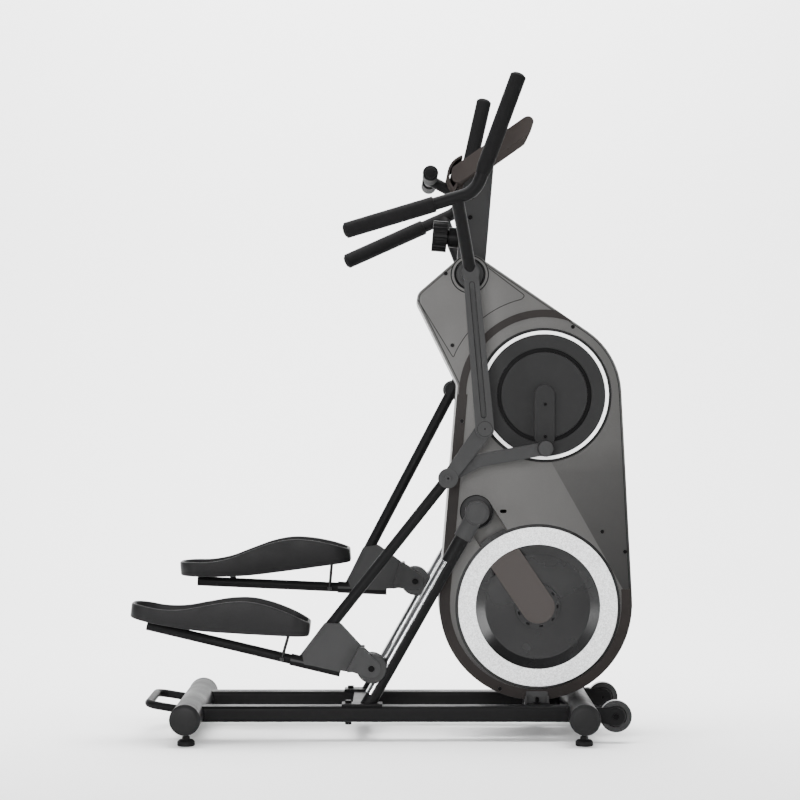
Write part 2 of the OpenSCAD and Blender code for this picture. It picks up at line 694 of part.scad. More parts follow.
// ---- Pedal arms ----
pin_rel = crank_pin(right) - roller_point(right);
link_rel = link_pin(right) - roller_point(right);
kink_rel = link_rel + [78, 44];
heel = [-177, 14];
toe = [-78, -9];
tail = [-567, 107];
arm_in = track_y - 12;
arm_out = track_y + 12;
strap_in = roller_w / 2 + 3.5;
strap_t = 4;
pedal_tube_d = 25;
gusset_discs = [[-170, 9, 0], [-57, -10, 0], [-27, 56, 0], [-84, 100, 12], [-112, 101, 12], [-175, 38, 0]];
module pedal_arm(side) {
    color("#333334") arm_frame(side) difference() {
        union() {
            tube(at(link_rel + 50 * unit(link_rel - heel), track_y), at(heel, track_y), arm_tube_d);
            tube(at(tail, track_y), at(toe, track_y), pedal_tube_d);
            tube(at(toe + 130 * (tail - toe) / norm(tail - toe), track_y), at(toe, track_y), pedal_tube_d + 5);
            plate_of([disc(pin_rel, rod_h / 2), disc(kink_rel, rod_h / 2)], arm_in, arm_out);
            plate_of([disc(kink_rel, rod_h / 2 - 1), disc(link_rel, rod_h / 2 - 3)], arm_in + 2, arm_out - 2);
            round_y(pin_rel, 19, arm_in - 1, arm_out);
            round_y(pin_rel, 21, arm_out, arm_out + 6);
            round_y(link_rel, 20, arm_in - 1, arm_out + 6);
            for (face = [-1, 1]) {
                sheet(gusset_discs, face, arm_tube_d / 2 - 2, gusset_t);
                sheet([[-54, -4, 3], [0, 0, 23], [-24, 49, 3]], face, strap_in, strap_t);
                sheet([[-59, -6, 3], [-50, -6, 3], [-20, 51, 3], [-29, 51, 3]], face,
                    arm_tube_d / 2 - 1, strap_in + strap_t - arm_tube_d / 2 + 2);
            }
            pedal_mounts();
        }
        round_y([0, 0], roller_bolt_d / 2 + run_gap, 0, stabiliser_len);
    }
}
// A plate beside the rail, at a distance outwards (face 1) or inwards (face -1) from the track's plane
module sheet(discs, face, from, t) {
    low = track_y + (face > 0 ? from : -from - t);
    plate_of(discs, low, low + t);
}
module pedal_mounts() {
    foot = [-226, 24];
    head = [-209, 84];
    rear = [-473, 84];
    for (dy = [-22, 22]) tube([foot.x, track_y + dy, foot.y], [head.x, track_y + dy, head.y], 7);
    translate([foot.x - 5, track_y - 28, foot.y - 6]) cube([10, 56, 8]);
    tube(at(rear, track_y), at(rear + [0, 26], track_y), 16);
}
module right_pedal_arm() { pedal_arm(right); }
module left_pedal_arm() { pedal_arm(left); }

pedal_place = [-606, 131.5];
pedal_pitch = 6.35;
pedal_floor = 10;
pedal_y = track_y + 8;
// A smooth curve through points, in arcs of four steps
function smooth(p) = [for (i = [0:len(p) - 2], k = [0:3])
    let (t = k / 4, a = p[max(0, i - 1)], b = p[i], c = p[i + 1], d = p[min(len(p) - 1, i + 2)])
        0.5 * (2 * b + (c - a) * t + (2 * a - 5 * b + 4 * c - d) * t * t + (3 * b - a - 3 * c + d) * t * t * t)];
module pedal_side() {
    stretch = pedal_len / 452;
    upper = [[452, 12], [450, 36], [406, 61], [326, 86], [272, 85], [214, 63], [164, 41], [98, 35], [45, 42], [15, 46], [2, 38], [0, 8]];
    lower = [[2, 2], [40, -5], [170, -13], [280, -6], [385, 0], [440, 2]];
    polygon([for (p = concat(smooth(upper), smooth(lower))) [p.x * stretch, p.y]]);
}
module pedal_plan(inset) {
    rear = 45;
    front = 60;
    half = pedal_w / 2;
    polygon(outline([[rear, rear - half, rear], [pedal_len - front, front - half, front],
        [pedal_len - front, half - front, front], [rear, half - rear, rear]], inset));
}
module pedal(side) {
    color("#1a1a1a") arm_frame(side) translate([pedal_place.x, pedal_y, pedal_place.y]) rotate([0, pedal_pitch, 0])
        difference() {
            intersection() {
                plate(-pedal_w, pedal_w) pedal_side();
                translate([0, 0, -50]) linear_extrude(200) pedal_plan(0);
            }
            translate([0, 0, pedal_floor]) linear_extrude(200) pedal_plan(pedal_wall);
        }
}
module right_pedal() { pedal(right); }
module left_pedal() { pedal(left); }

module roller(side) {
    color(dark_grey) on_side(side) difference() {
        round_y(roller_point(side), roller_d / 2, track_y - roller_w / 2, track_y + roller_w / 2);
        translate(at(roller_point(side), track_y)) rotate([90, 0, 0])
            rotate_extrude() translate([roller_gap, 0]) circle(r = strip_out + slip_gap);
        round_y(roller_point(side), roller_bolt_d / 2 + run_gap, 0, stabiliser_len);
    }
}
module right_roller() { roller(right); }
module left_roller() { roller(left); }
module roller_axle(side) {
    outer = strap_in + strap_t + 0.3;
    color(bright) on_side(side) {
        round_y(roller_point(side), roller_bolt_d / 2, track_y - outer - 6, track_y + outer + 1);
        round_y(roller_point(side), roller_bolt_d / 2 + 3, track_y + outer, track_y + outer + 3);
        round_y(roller_point(side), roller_bolt_d / 2 + 3, track_y - outer - 6, track_y - outer);
    }
}
module right_roller_axle() { roller_axle(right); }
module left_roller_axle() { roller_axle(left); }

// ---- Levers, grips and links ----
lever_rel = lever_pin(right) - pivot;
lever_dir = lever_rel / lever_len;
link_out = link_in + link_t;
link_bolt_r = 6;
tube_foot = [0, lever_in - 6, 0];
tube_head = [-37.3, grip_y, 177.6];
handle_rear = [-310.9, grip_y, 97.6];
handle_corner = [8.4, grip_y, 193.2];
handle_top = [114.2, grip_y, 479.8];
handle_bend = 60;
grip_gap = 0.08;
module lever(side) {
    groove = 6;
    color(dark_grey) lever_frame(side) difference() {
        union() {
            plate_of([disc([0, 0], 19), disc(lever_rel, 23.5)], lever_in, lever_out);
            round_y([0, 0], lever_hub_r, housing_y + 2, housing_y + 16);
            round_y([0, 0], 24, housing_y + 16, lever_in);
            round_y([0, 0], 22, lever_in - 1, lever_out + 2);
            tube(tube_foot, tube_head, lever_tube_d);
            bent_tube([handle_rear, handle_corner, handle_top], handle_bend, handle_d);
            round_y(lever_rel, link_bolt_r, link_in - 1.7, lever_in);
            round_y(lever_rel, link_bolt_r + 4, link_in - 1.7, link_in - 0.3);
        }
        round_y([0, 0], shaft_r + run_gap, 0, lever_out - 2);
        plate_of([disc(45 * lever_dir, groove), disc((lever_len - 32) * lever_dir, groove)], lever_out - 3, lever_out + 1);
    }
}
module right_lever() { lever(right); }
module left_lever() { lever(left); }
// A foam grip over the end stretch of a handle tube, closed at its end
module grip(from, to) {
    along = unit(to - from);
    difference() {
        tube(from, to + 4 * along, grip_d);
        tube(from - along, to, handle_d + 2 * grip_gap);
    }
}
module grips(side) {
    color("#101010") lever_frame(side) {
        grip(handle_corner + 46 * unit(handle_top - handle_corner), handle_top);
        grip(handle_corner + 106 * unit(handle_rear - handle_corner), handle_rear);
    }
}
module right_grips() { grips(right); }
module left_grips() { grips(left); }
module link(side) {
    a = lever_pin(side);
    b = link_pin(side);
    color(dark_grey) on_side(side) difference() {
        union() {
            plate_of([disc(a, 22), disc(b, 17)], link_in, link_out);
            round_y(b, 25.2, link_in, link_out + 1);
            round_y(b, 9, link_out + 1, link_out + 5);
        }
        round_y(a, link_bolt_r + run_gap, 0, stabiliser_len);
    }
}
module right_link() { link(right); }
module left_link() { link(left); }

rear_stabiliser();
front_stabiliser();
stabiliser_caps();
right_base_rail();
left_base_rail();
cross_members();
lifting_loop();
right_transport_wheel();
left_transport_wheel();
right_rear_foot();
left_rear_foot();
right_front_foot();
left_front_foot();
right_roller_rail();
left_roller_rail();
rail_strips();
rail_knuckles();
tower_frame();
right_housing();
left_housing();
trim_bands();
fasteners();
pivot_shaft();
mast();
handlebar();
handlebar_grips();
clamp_knob();
console_tray();
tablet_ledge();
display_window();
start_button();
adjust_rocker();
crank_axle();
bearings();
drive_pulley();
crank_discs();
crank_rings();
crank_arms();
flywheel();
wheel_discs();
silver_rings();
hub_bars();
drive_belt();
idler();
magnet_bracket();
brake_motor();
right_pedal_arm();
left_pedal_arm();
right_pedal();
left_pedal();
right_roller();
left_roller();
right_roller_axle();
left_roller_axle();
right_lever();
left_lever();
right_grips();
left_grips();
right_link();
left_link();
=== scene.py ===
import json
import math

import bmesh
import bpy
import numpy as np
from mathutils import Matrix, Vector


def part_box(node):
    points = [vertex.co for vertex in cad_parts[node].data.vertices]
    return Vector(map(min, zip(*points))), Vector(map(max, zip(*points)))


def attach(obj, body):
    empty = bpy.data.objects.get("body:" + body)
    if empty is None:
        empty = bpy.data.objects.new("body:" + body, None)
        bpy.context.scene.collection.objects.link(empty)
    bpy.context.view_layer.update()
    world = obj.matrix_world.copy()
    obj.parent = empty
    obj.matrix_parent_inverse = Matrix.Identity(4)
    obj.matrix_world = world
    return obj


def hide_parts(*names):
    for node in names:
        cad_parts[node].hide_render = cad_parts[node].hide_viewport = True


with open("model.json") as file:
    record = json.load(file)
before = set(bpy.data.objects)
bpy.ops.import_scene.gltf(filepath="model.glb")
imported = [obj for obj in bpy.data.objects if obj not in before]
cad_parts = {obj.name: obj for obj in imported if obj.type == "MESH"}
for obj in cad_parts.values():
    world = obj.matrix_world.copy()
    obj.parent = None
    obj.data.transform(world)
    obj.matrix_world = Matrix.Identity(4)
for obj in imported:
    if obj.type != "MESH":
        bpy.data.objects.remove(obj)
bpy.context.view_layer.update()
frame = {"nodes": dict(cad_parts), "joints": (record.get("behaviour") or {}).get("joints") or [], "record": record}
nodes = frame["nodes"]
record = frame["record"]
bodyOfNode = {node: body for body, members in record["behaviour"]["bodies"].items() for node in members}
slotOfNode = {row["node"]: row["material_slot"] for row in record["subparts"]}
jointAt = {row["name"]: Vector(row["pos_m"]) for row in frame["joints"] if "pos_m" in row}
jointSpan = {row["name"]: row.get("range_deg", [0, 0]) for row in frame["joints"]}
sideSign = {"right": -1, "left": 1}
crankAt, pivotAt, wheelAt = jointAt["crank_turn"], jointAt["right_lever_swing"], jointAt["flywheel_spin"]
print("frame loaded with", len(nodes), "nodes")


# Finishes: each is a node material on object coordinates
def nodeTools(material):
    tree = material.node_tree

    def add(kind, links=(), **values):
        node = tree.nodes.new(kind)
        for key, value in values.items():
            setattr(node, key, value)
        for socket, source in dict(links).items():
            if isinstance(source, bpy.types.NodeSocket):
                tree.links.new(source, node.inputs[socket])
            else:
                node.inputs[socket].default_value = source
        return node

    return add


def newFinish(name, look):
    material = bpy.data.materials.new(name)
    material.use_nodes = True
    shader = next(n for n in material.node_tree.nodes if n.type == "BSDF_PRINCIPLED")
    shader.inputs["Metallic"].default_value = look.get("metallic", 0.0)
    shader.inputs["Specular IOR Level"].default_value = look.get("specular", 0.5)
    shader.inputs["Coat Weight"].default_value = look.get("coat", 0.0)
    shader.inputs["Coat Roughness"].default_value = look.get("coatRoughness", 0.2)
    shader.inputs["Sheen Weight"].default_value = look.get("sheen", 0.0)
    return material, shader, nodeTools(material)


def shade(colour, factor):
    return tuple(min(1.0, c * factor) for c in colour[:3]) + (1.0,)


def surface(name, look, shadePainter=None):
    material, shader, add = newFinish(name, look)
    colour = look["colour"]
    where = add("ShaderNodeTexCoord").outputs["Object"]
    stretch = add("ShaderNodeMapping", {"Vector": where, "Rotation": look.get("turn", (0, 0, 0)), "Scale": look.get("stretch", (1, 1, 1))})
    clouds = add("ShaderNodeTexNoise", {"Vector": where, "Scale": look.get("cloudScale", 9), "Detail": 3})
    grain = add("ShaderNodeTexNoise", {"Vector": stretch.outputs[0], "Scale": look.get("grainScale", 900), "Detail": 2})
    mottle = look.get("mottle", 0.12)
    broad = add("ShaderNodeMix", {"Factor": clouds.outputs[0], "A": shade(colour, 1 - mottle), "B": shade(colour, 1 + mottle)}, data_type="RGBA")
    fleck = look.get("fleck", 0.06)
    spread = add("ShaderNodeMapRange", {"Value": grain.outputs[0], "From Min": 0.35, "From Max": 0.65, "To Min": 1 - fleck, "To Max": 1 + fleck})
    fine = add("ShaderNodeVectorMath", {0: broad.outputs[2], "Scale": spread.outputs[0]}, operation="SCALE")
    # an optional painter darkens the colour with painted shade; only the shell uses it
    base = fine.outputs[0] if shadePainter is None else shadePainter(add, where, fine.outputs[0])
    material.node_tree.links.new(base, shader.inputs["Base Color"])
    rough, swing = look["roughness"], look.get("roughSwing", 0.06)
    worn = add("ShaderNodeMapRange", {"Value": clouds.outputs[0], "From Min": 0.3, "From Max": 0.7, "To Min": rough - swing, "To Max": rough + swing})
    material.node_tree.links.new(worn.outputs[0], shader.inputs["Roughness"])
    bump = add("ShaderNodeBump", {"Height": grain.outputs[0], "Strength": look.get("bump", 0.25), "Distance": look.get("depth", 0.0002)})
    material.node_tree.links.new(bump.outputs[0], shader.inputs["Normal"])
    return material


def cells(name, look):  # foam and moulded leather grain: small closed cells
    material, shader, add = newFinish(name, look)
    where = add("ShaderNodeTexCoord").outputs["Object"]
    cell = add("ShaderNodeTexVoronoi", {"Vector": where, "Scale": look["cellScale"]})
    clouds = add("ShaderNodeTexNoise", {"Vector": where, "Scale": 25, "Detail": 3})
    colour = look["colour"]
    base = add("ShaderNodeMix", {"Factor": cell.outputs["Distance"], "A": shade(colour, 1.25), "B": shade(colour, 0.6)}, data_type="RGBA")
    material.node_tree.links.new(base.outputs[2], shader.inputs["Base Color"])
    worn = add("ShaderNodeMapRange", {"Value": clouds.outputs[0], "From Min": 0.3, "From Max": 0.7,
                                      "To Min": look["roughness"] - 0.08, "To Max": look["roughness"] + 0.06})
    material.node_tree.links.new(worn.outputs[0], shader.inputs["Roughness"])
    bump = add("ShaderNodeBump", {"Height": cell.outputs["Distance"], "Strength": look["bump"], "Distance": look["depth"]})
    material.node_tree.links.new(bump.outputs[0], shader.inputs["Normal"])
    return material


# The shell's finish carries painted shade: the facet, far-edge and foot settings darken its colour by place
shellFinishAndShade = {"colour": (0.058, 0.0565, 0.0547), "roughness": 0.42, "specular": 0.16, "mottle": 0.03, "fleck": 0.1, "grainScale": 1500, "bump": 0.06,
             "coat": 0.0, "facetFrom": (0.4333, 0.694), "facetTo": (0.6041, 0.390), "facetShade": 0.24,
             "farEdge": (0.3, 0.62), "farEdgeShade": 0.62, "foot": (0.42, 0.14), "footShade": 0.3}


def paintedFacetShade(add, where, colour):  # painted shade: a darker slanted field ahead of the line from the crank disc to the wheel, fading into the trim, stands in for the shade of a facet; painted shade also darkens the shell towards its far edge and towards the bottom
    split = add("ShaderNodeSeparateXYZ", {0: where})
    (x0, z0), (x1, z1) = shellFinishAndShade["facetFrom"], shellFinishAndShade["facetTo"]
    length = math.hypot(x1 - x0, z1 - z0)
    across = add("ShaderNodeVectorMath", {0: where, 1: ((z0 - z1) / length, 0, (x1 - x0) / length)}, operation="DOT_PRODUCT")
    offset = (x0 * (z0 - z1) + z0 * (x1 - x0)) / length
    edge = add("ShaderNodeMapRange", {"Value": across.outputs["Value"], "From Min": offset - 0.0008, "From Max": offset + 0.0008})
    low = add("ShaderNodeMapRange", {"Value": split.outputs["Z"], "From Min": z0 + 0.06, "From Max": z0 - 0.02})
    facetShadeMask = add("ShaderNodeMath", {0: edge.outputs[0], 1: low.outputs[0]}, operation="MULTIPLY")
    facetShadeRamp = add("ShaderNodeMapRange", {"Value": split.outputs["Z"], "From Min": z0, "From Max": z1,
                                      "To Min": shellFinishAndShade["facetShade"] + 0.4, "To Max": shellFinishAndShade["facetShade"]})
    facetShadeFactor = add("ShaderNodeMix", {"Factor": facetShadeMask.outputs[0], "A": 1.0, "B": facetShadeRamp.outputs[0]}, data_type="FLOAT")
    (nearX, farX), (highZ, lowZ) = shellFinishAndShade["farEdge"], shellFinishAndShade["foot"]
    farEdgeShadeRamp = add("ShaderNodeMapRange", {"Value": split.outputs["X"], "From Min": nearX, "From Max": farX,
                                       "To Min": 1.0, "To Max": shellFinishAndShade["farEdgeShade"]})
    footShadeRamp = add("ShaderNodeMapRange", {"Value": split.outputs["Z"], "From Min": highZ, "From Max": lowZ,
                                       "To Min": 1.0, "To Max": shellFinishAndShade["footShade"]})
    tone = add("ShaderNodeMath", {0: farEdgeShadeRamp.outputs[0], 1: footShadeRamp.outputs[0]}, operation="MULTIPLY")
    paintedShadeFactor = add("ShaderNodeMath", {0: facetShadeFactor.outputs[0], 1: tone.outputs[0]}, operation="MULTIPLY")
    return add("ShaderNodeVectorMath", {0: colour, "Scale": paintedShadeFactor.outputs[0]}, operation="SCALE").outputs[0]


railSlope = math.atan2(*[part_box("right_roller_rail")[1][i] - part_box("right_roller_rail")[0][i] for i in (2, 0)])
black, darkGrey = (0.006, 0.006, 0.0062), (0.029, 0.029, 0.0293)
finish = {
    "black_steel": surface("blackPowderCoat", {"colour": black, "roughness": 0.42, "specular": 0.035, "grainScale": 1300, "bump": 0.3}),
    "grey_steel": surface("greyPowderCoat", {"colour": darkGrey, "roughness": 0.48, "specular": 0.03, "grainScale": 1300, "bump": 0.25}),
    "frame_steel": surface("blackPrimer", {"colour": (0.006, 0.006, 0.0062), "roughness": 0.7, "specular": 0.05, "grainScale": 700}),
    "bright_steel": surface("polishedStainless", {"colour": (0.6, 0.6, 0.61), "roughness": 0.22, "metallic": 1.0, "stretch": (1, 1, 0.02),
                                                  "turn": (0, railSlope - math.pi / 2, 0), "grainScale": 1500, "bump": 0.08, "mottle": 0.06}),
    "fastener_black": surface("blackOxide", {"colour": (0.0015, 0.0015, 0.0016), "roughness": 0.35, "specular": 0.04, "mottle": 0.2}),
    "cap_plastic": surface("grainedCap", {"colour": (0.009, 0.009, 0.0092), "roughness": 0.4, "specular": 0.06, "grainScale": 1800, "bump": 0.35}),
    "foot_rubber": surface("footRubber", {"colour": (0.005, 0.005, 0.0052), "roughness": 0.62, "specular": 0.1, "grainScale": 500}),
    "wheel_plastic": surface("wheelPlastic", {"colour": (0.0055, 0.0055, 0.0057), "roughness": 0.26, "specular": 0.25, "grainScale": 1000, "mottle": 0.1, "bump": 0.12}),
    # shell paint with painted shade on its face
    "shell_grey": surface("shellPaintPaintedShade", shellFinishAndShade, paintedFacetShade),
    "trim_taupe": surface("taupeTrim", {"colour": (0.0125, 0.0105, 0.0099), "roughness": 0.36, "specular": 0.06, "mottle": 0.15, "grainScale": 1600}),
    "crank_plastic": surface("crankPlastic", {"colour": (0.0135, 0.0135, 0.0137), "roughness": 0.46, "specular": 0.06, "grainScale": 1700, "bump": 0.3}),
    "ring_white": surface("whiteRing", {"colour": (0.93, 0.93, 0.93), "roughness": 0.3, "mottle": 0.02, "fleck": 0.01, "bump": 0.04, "coat": 0.2}),
    "ring_silver": surface("speckledSilver", {"colour": (0.58, 0.585, 0.59), "roughness": 0.46, "metallic": 0.35, "fleck": 0.3,
                                              "grainScale": 420, "mottle": 0.04, "bump": 0.3}),
    "bar_taupe": surface("barTaupe", {"colour": (0.034, 0.0295, 0.028), "roughness": 0.48, "specular": 0.08, "mottle": 0.05, "grainScale": 1500}),
    "wheel_iron": surface("turnedIron", {"colour": (0.16, 0.165, 0.17), "roughness": 0.4, "metallic": 0.9, "mottle": 0.15}),
    "magnet_steel": surface("zincPlate", {"colour": (0.45, 0.45, 0.43), "roughness": 0.36, "metallic": 1.0, "mottle": 0.12}),
    "belt_rubber": surface("beltRubber", {"colour": (0.01, 0.01, 0.0105), "roughness": 0.66, "grainScale": 300, "stretch": (1, 12, 1)}),
    "foam_black": cells("gripFoam", {"colour": (0.006, 0.006, 0.0062), "roughness": 0.62, "specular": 0.04, "cellScale": 900, "bump": 0.5, "depth": 0.0003}),
    "pedal_plastic": cells("pedalMoulding", {"colour": (0.012, 0.012, 0.0123), "roughness": 0.44, "specular": 0.05, "cellScale": 1500, "bump": 0.25, "depth": 0.0002}),
    "knob_plastic": surface("knobPlastic", {"colour": (0.005, 0.005, 0.0052), "roughness": 0.36, "specular": 0.06, "grainScale": 900}),
    "console_taupe": surface("consolePlastic", {"colour": (0.03, 0.026, 0.0245), "roughness": 0.5, "specular": 0.0, "mottle": 0.06, "grainScale": 1400, "bump": 0.2}),
    "display_black": surface("displayGlass", {"colour": (0.003, 0.0032, 0.004), "roughness": 0.08, "roughSwing": 0.02, "coat": 0.6, "coatRoughness": 0.03, "bump": 0.01}),
    "key_grey": surface("softKey", {"colour": (0.07, 0.067, 0.064), "roughness": 0.6, "specular": 0.2, "grainScale": 800}),
}
print("finishes made:", len(finish))


# Meshes: helpers that shape, place and hand over a piece
def meshOf(bm, name="mesh"):
    mesh = bpy.data.meshes.new(name)
    bm.to_mesh(mesh)
    bm.free()
    return mesh


def finished(source, modifiers=()):
    tool = bpy.data.objects.new("tool", source)
    bpy.context.scene.collection.objects.link(tool)
    for kind, values in modifiers:
        modifier = tool.modifiers.new(kind, kind)
        for key, value in values.items():
            setattr(modifier, key, value)
    graph = bpy.context.evaluated_depsgraph_get()
    mesh = bpy.data.meshes.new_from_object(tool.evaluated_get(graph))
    bpy.data.objects.remove(tool)
    return mesh


def smoothFaces(mesh, sharp=32):
    mesh.polygons.foreach_set("use_smooth", [True] * len(mesh.polygons))
    mesh.set_sharp_from_angle(angle=math.radians(sharp))
    return mesh


def hand(name, mesh, slot, body, stands=(), second=None, chosen=None):
    mesh.materials.clear()
    mesh.materials.append(finish[slot])
    mesh.polygons.foreach_set("material_index", [0] * len(mesh.polygons))
    if second:
        mesh.materials.append(finish[second])
        for face in mesh.polygons:
            face.material_index = int(chosen(face))
    piece = bpy.data.objects.new(name, mesh)
    bpy.context.scene.collection.objects.link(piece)
    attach(piece, body)
    if stands:
        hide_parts(*stands)
    return piece


def moved(mesh, matrix):
    mesh.transform(matrix)
    if matrix.determinant() < 0:
        mesh.flip_normals()
    return mesh


def joined(meshes):
    bm = bmesh.new()
    for mesh in meshes:
        bm.from_mesh(mesh)
    return meshOf(bm)


def sideMatrix(side):  # shapes are drawn on the left, at +Y, and mirrored for the right
    return Matrix.Identity(4) if side == "left" else Matrix.Diagonal((1, -1, 1, 1))


def onBothSides(draw):
    return joined([moved(draw(), sideMatrix(side)) for side in sideSign])


def wrapDiscs(discs, inset=0.0, step=5.0):  # points round discs (x, z, r) taken anticlockwise; a negative r is a hollow corner
    def slope(a, b):
        return math.atan2(b[1] - a[1], b[0] - a[0]) - math.acos((a[2] - b[2]) / math.hypot(b[0] - a[0], b[1] - a[1]))
    points = []
    for i, disc in enumerate(discs):
        start, end = slope(discs[i - 1], disc), slope(disc, discs[(i + 1) % len(discs)])
        sweep = (end - start) % math.tau if disc[2] > 0 else -((start - end) % math.tau)
        steps = max(1, math.ceil(abs(math.degrees(sweep)) / step))
        r = disc[2] - inset
        points += [(disc[0] + r * math.cos(start + sweep * k / steps), disc[1] + r * math.sin(start + sweep * k / steps)) for k in range(steps + 1)]
    return points


def plate(points, low, high):
    bm = bmesh.new()
    face = bm.faces.new([bm.verts.new((x, low, z)) for x, z in points])
    made = bmesh.ops.extrude_face_region(bm, geom=[face])
    bmesh.ops.translate(bm, vec=(0, high - low, 0), verts=[g for g in made["geom"] if isinstance(g, bmesh.types.BMVert)])
    bmesh.ops.recalc_face_normals(bm, faces=bm.faces)
    return meshOf(bm)


def band(outer, inner, low, high):  # a flat closed ribbon between two loops with the same number of points
    bm = bmesh.new()
    rings = [[bm.verts.new((x, y, z)) for x, z in loop] for loop, y in ((outer, low), (outer, high), (inner, high), (inner, low))]
    count = len(outer)
    for a in range(4):
        for i in range(count):
            j = (i + 1) % count
            bm.faces.new((rings[a][i], rings[a][j], rings[(a + 1) % 4][j], rings[(a + 1) % 4][i]))
    bmesh.ops.recalc_face_normals(bm, faces=bm.faces)
    return meshOf(bm)


def turned(profile, foot, along, segments=48):  # profile is (radius, distance along the axis), pole to pole
    axis = Vector(along).normalized()
    spin = axis.to_track_quat("Z", "Y").to_matrix().to_4x4()
    bm = bmesh.new()
    loops = []
    for r, h in profile:
        if r < 1e-7:
            loops.append([bm.verts.new((0, 0, h))])
        else:
            loops.append([bm.verts.new((r * math.cos(math.tau * k / segments), r * math.sin(math.tau * k / segments), h)) for k in range(segments)])
    closed = len(loops[0]) > 1
    pairs = list(zip(loops, loops[1:])) + ([(loops[-1], loops[0])] if closed else [])
    for a, b in pairs:
        for k in range(segments):
            n = (k + 1) % segments
            corners = [a[k % len(a)], a[n % len(a)], b[n % len(b)], b[k % len(b)]]
            corners = [c for i, c in enumerate(corners) if c not in corners[:i]]
            if len(corners) > 2:
                bm.faces.new(corners)
    bmesh.ops.recalc_face_normals(bm, faces=bm.faces)
    return moved(meshOf(bm), Matrix.Translation(Vector(foot)) @ spin)


def dome(r, rise, edge, steps=6):  # the profile of a rounded end, from its rim to its pole
    return [(r - edge + edge * math.cos(a), edge * math.sin(a)) for a in [math.pi / 2 * k / 4 for k in range(5)]] + \
        [((r - edge) * math.cos(math.pi / 2 * k / steps), edge + (rise - edge) * math.sin(math.pi / 2 * k / steps)) for k in range(1, steps)] + [(0, rise)]


def softened(mesh, width, weigh=None, sharp=28, merge=0.6):  # a mesh, merged, with its sharp edges rounded; an edge that weigh leaves out stays sharp
    bm = bmesh.new()
    bm.from_mesh(mesh)
    bmesh.ops.remove_doubles(bm, verts=bm.verts, dist=1e-5)
    if merge:
        bmesh.ops.dissolve_limit(bm, angle_limit=math.radians(merge), verts=bm.verts, edges=bm.edges)
    weights = bm.edges.layers.float.new("bevel_weight_edge")
    for edge in bm.edges:
        if edge.is_manifold and edge.calc_face_angle(0) > math.radians(sharp):
            edge[weights] = 1.0 if weigh is None else weigh(edge)
            edge.smooth = edge[weights] > 0
    source = meshOf(bm)
    source.polygons.foreach_set("use_smooth", [True] * len(source.polygons))
    return finished(source, [
        ("BEVEL", {"width": width, "segments": 2, "limit_method": "WEIGHT", "use_clamp_overlap": True}),
        ("WEIGHTED_NORMAL", {"keep_sharp": True, "weight": 60})])


def soften(node, width, weigh=None):
    return softened(nodes[node].data, width, weigh)


def repeatTree():  # copies a shape along a step or round a ring in the XZ plane
    tree = bpy.data.node_groups.new("repeatShape", "GeometryNodeTree")
    for label, kind in (("Geometry", "Geometry"), ("Count", "Int"), ("Step", "Vector"), ("Radius", "Float"), ("First angle", "Float"),
                        ("Turn between", "Float"), ("Shape", "Object"), ("Finish", "Material")):
        tree.interface.new_socket(label, in_out="INPUT", socket_type="NodeSocket" + kind)
    tree.interface.new_socket("Geometry", in_out="OUTPUT", socket_type="NodeSocketGeometry")

    def add(kind, links=(), **values):
        node = tree.nodes.new(kind)
        for key, value in values.items():
            setattr(node, key, value)
        for socket, source in dict(links).items():
            if isinstance(source, bpy.types.NodeSocket):
                tree.links.new(source, node.inputs[socket])
            else:
                node.inputs[socket].default_value = source
        return node

    given = add("NodeGroupInput").outputs
    index = add("GeometryNodeInputIndex").outputs[0]
    run = add("ShaderNodeVectorMath", {0: given["Step"], "Scale": index}, operation="SCALE").outputs[0]
    angle = add("ShaderNodeMath", {0: index, 1: given["Turn between"], 2: given["First angle"]}, operation="MULTIPLY_ADD").outputs[0]
    across = add("ShaderNodeMath", {0: add("ShaderNodeMath", {0: angle}, operation="COSINE").outputs[0], 1: given["Radius"]}, operation="MULTIPLY").outputs[0]
    up = add("ShaderNodeMath", {0: add("ShaderNodeMath", {0: angle}, operation="SINE").outputs[0], 1: given["Radius"]}, operation="MULTIPLY").outputs[0]
    ring = add("ShaderNodeCombineXYZ", {"X": across, "Z": up}).outputs[0]
    place = add("ShaderNodeVectorMath", {0: run, 1: ring}, operation="ADD").outputs[0]
    back = add("ShaderNodeMath", {0: angle, 1: -1.0}, operation="MULTIPLY").outputs[0]
    turn = add("ShaderNodeCombineXYZ", {"Y": back}).outputs[0]
    points = add("GeometryNodePoints", {"Count": given["Count"], "Position": place}).outputs[0]
    shape = add("GeometryNodeObjectInfo", {"Object": given["Shape"]}).outputs["Geometry"]
    copies = add("GeometryNodeInstanceOnPoints", {"Points": points, "Instance": shape, "Rotation": turn}).outputs[0]
    real = add("GeometryNodeRealizeInstances", {0: copies}).outputs[0]
    painted = add("GeometryNodeSetMaterial", {"Geometry": real, "Material": given["Finish"]}).outputs[0]
    tree.links.new(painted, add("NodeGroupOutput").inputs[0])
    return tree


copier = repeatTree()
socketOf = {item.name: item.identifier for item in copier.interface.items_tree if item.in_out == "INPUT"}


def repeated(shape, slot, count, step=(0, 0, 0), radius=0.0, firstAngle=0.0, turnBetween=0.0):
    stamp = bpy.data.objects.new("stamp", shape)
    host = bpy.data.objects.new("host", bpy.data.meshes.new("host"))
    bpy.context.scene.collection.objects.link(stamp)
    bpy.context.scene.collection.objects.link(host)
    modifier = host.modifiers.new("copies", "NODES")
    modifier.node_group = copier
    for label, value in (("Count", count), ("Step", step), ("Radius", radius), ("First angle", firstAngle),
                         ("Turn between", turnBetween), ("Shape", stamp), ("Finish", finish[slot])):
        modifier[socketOf[label]] = value
    graph = bpy.context.evaluated_depsgraph_get()
    mesh = bpy.data.meshes.new_from_object(host.evaluated_get(graph))
    bpy.data.objects.remove(host)
    bpy.data.objects.remove(stamp)
    return mesh


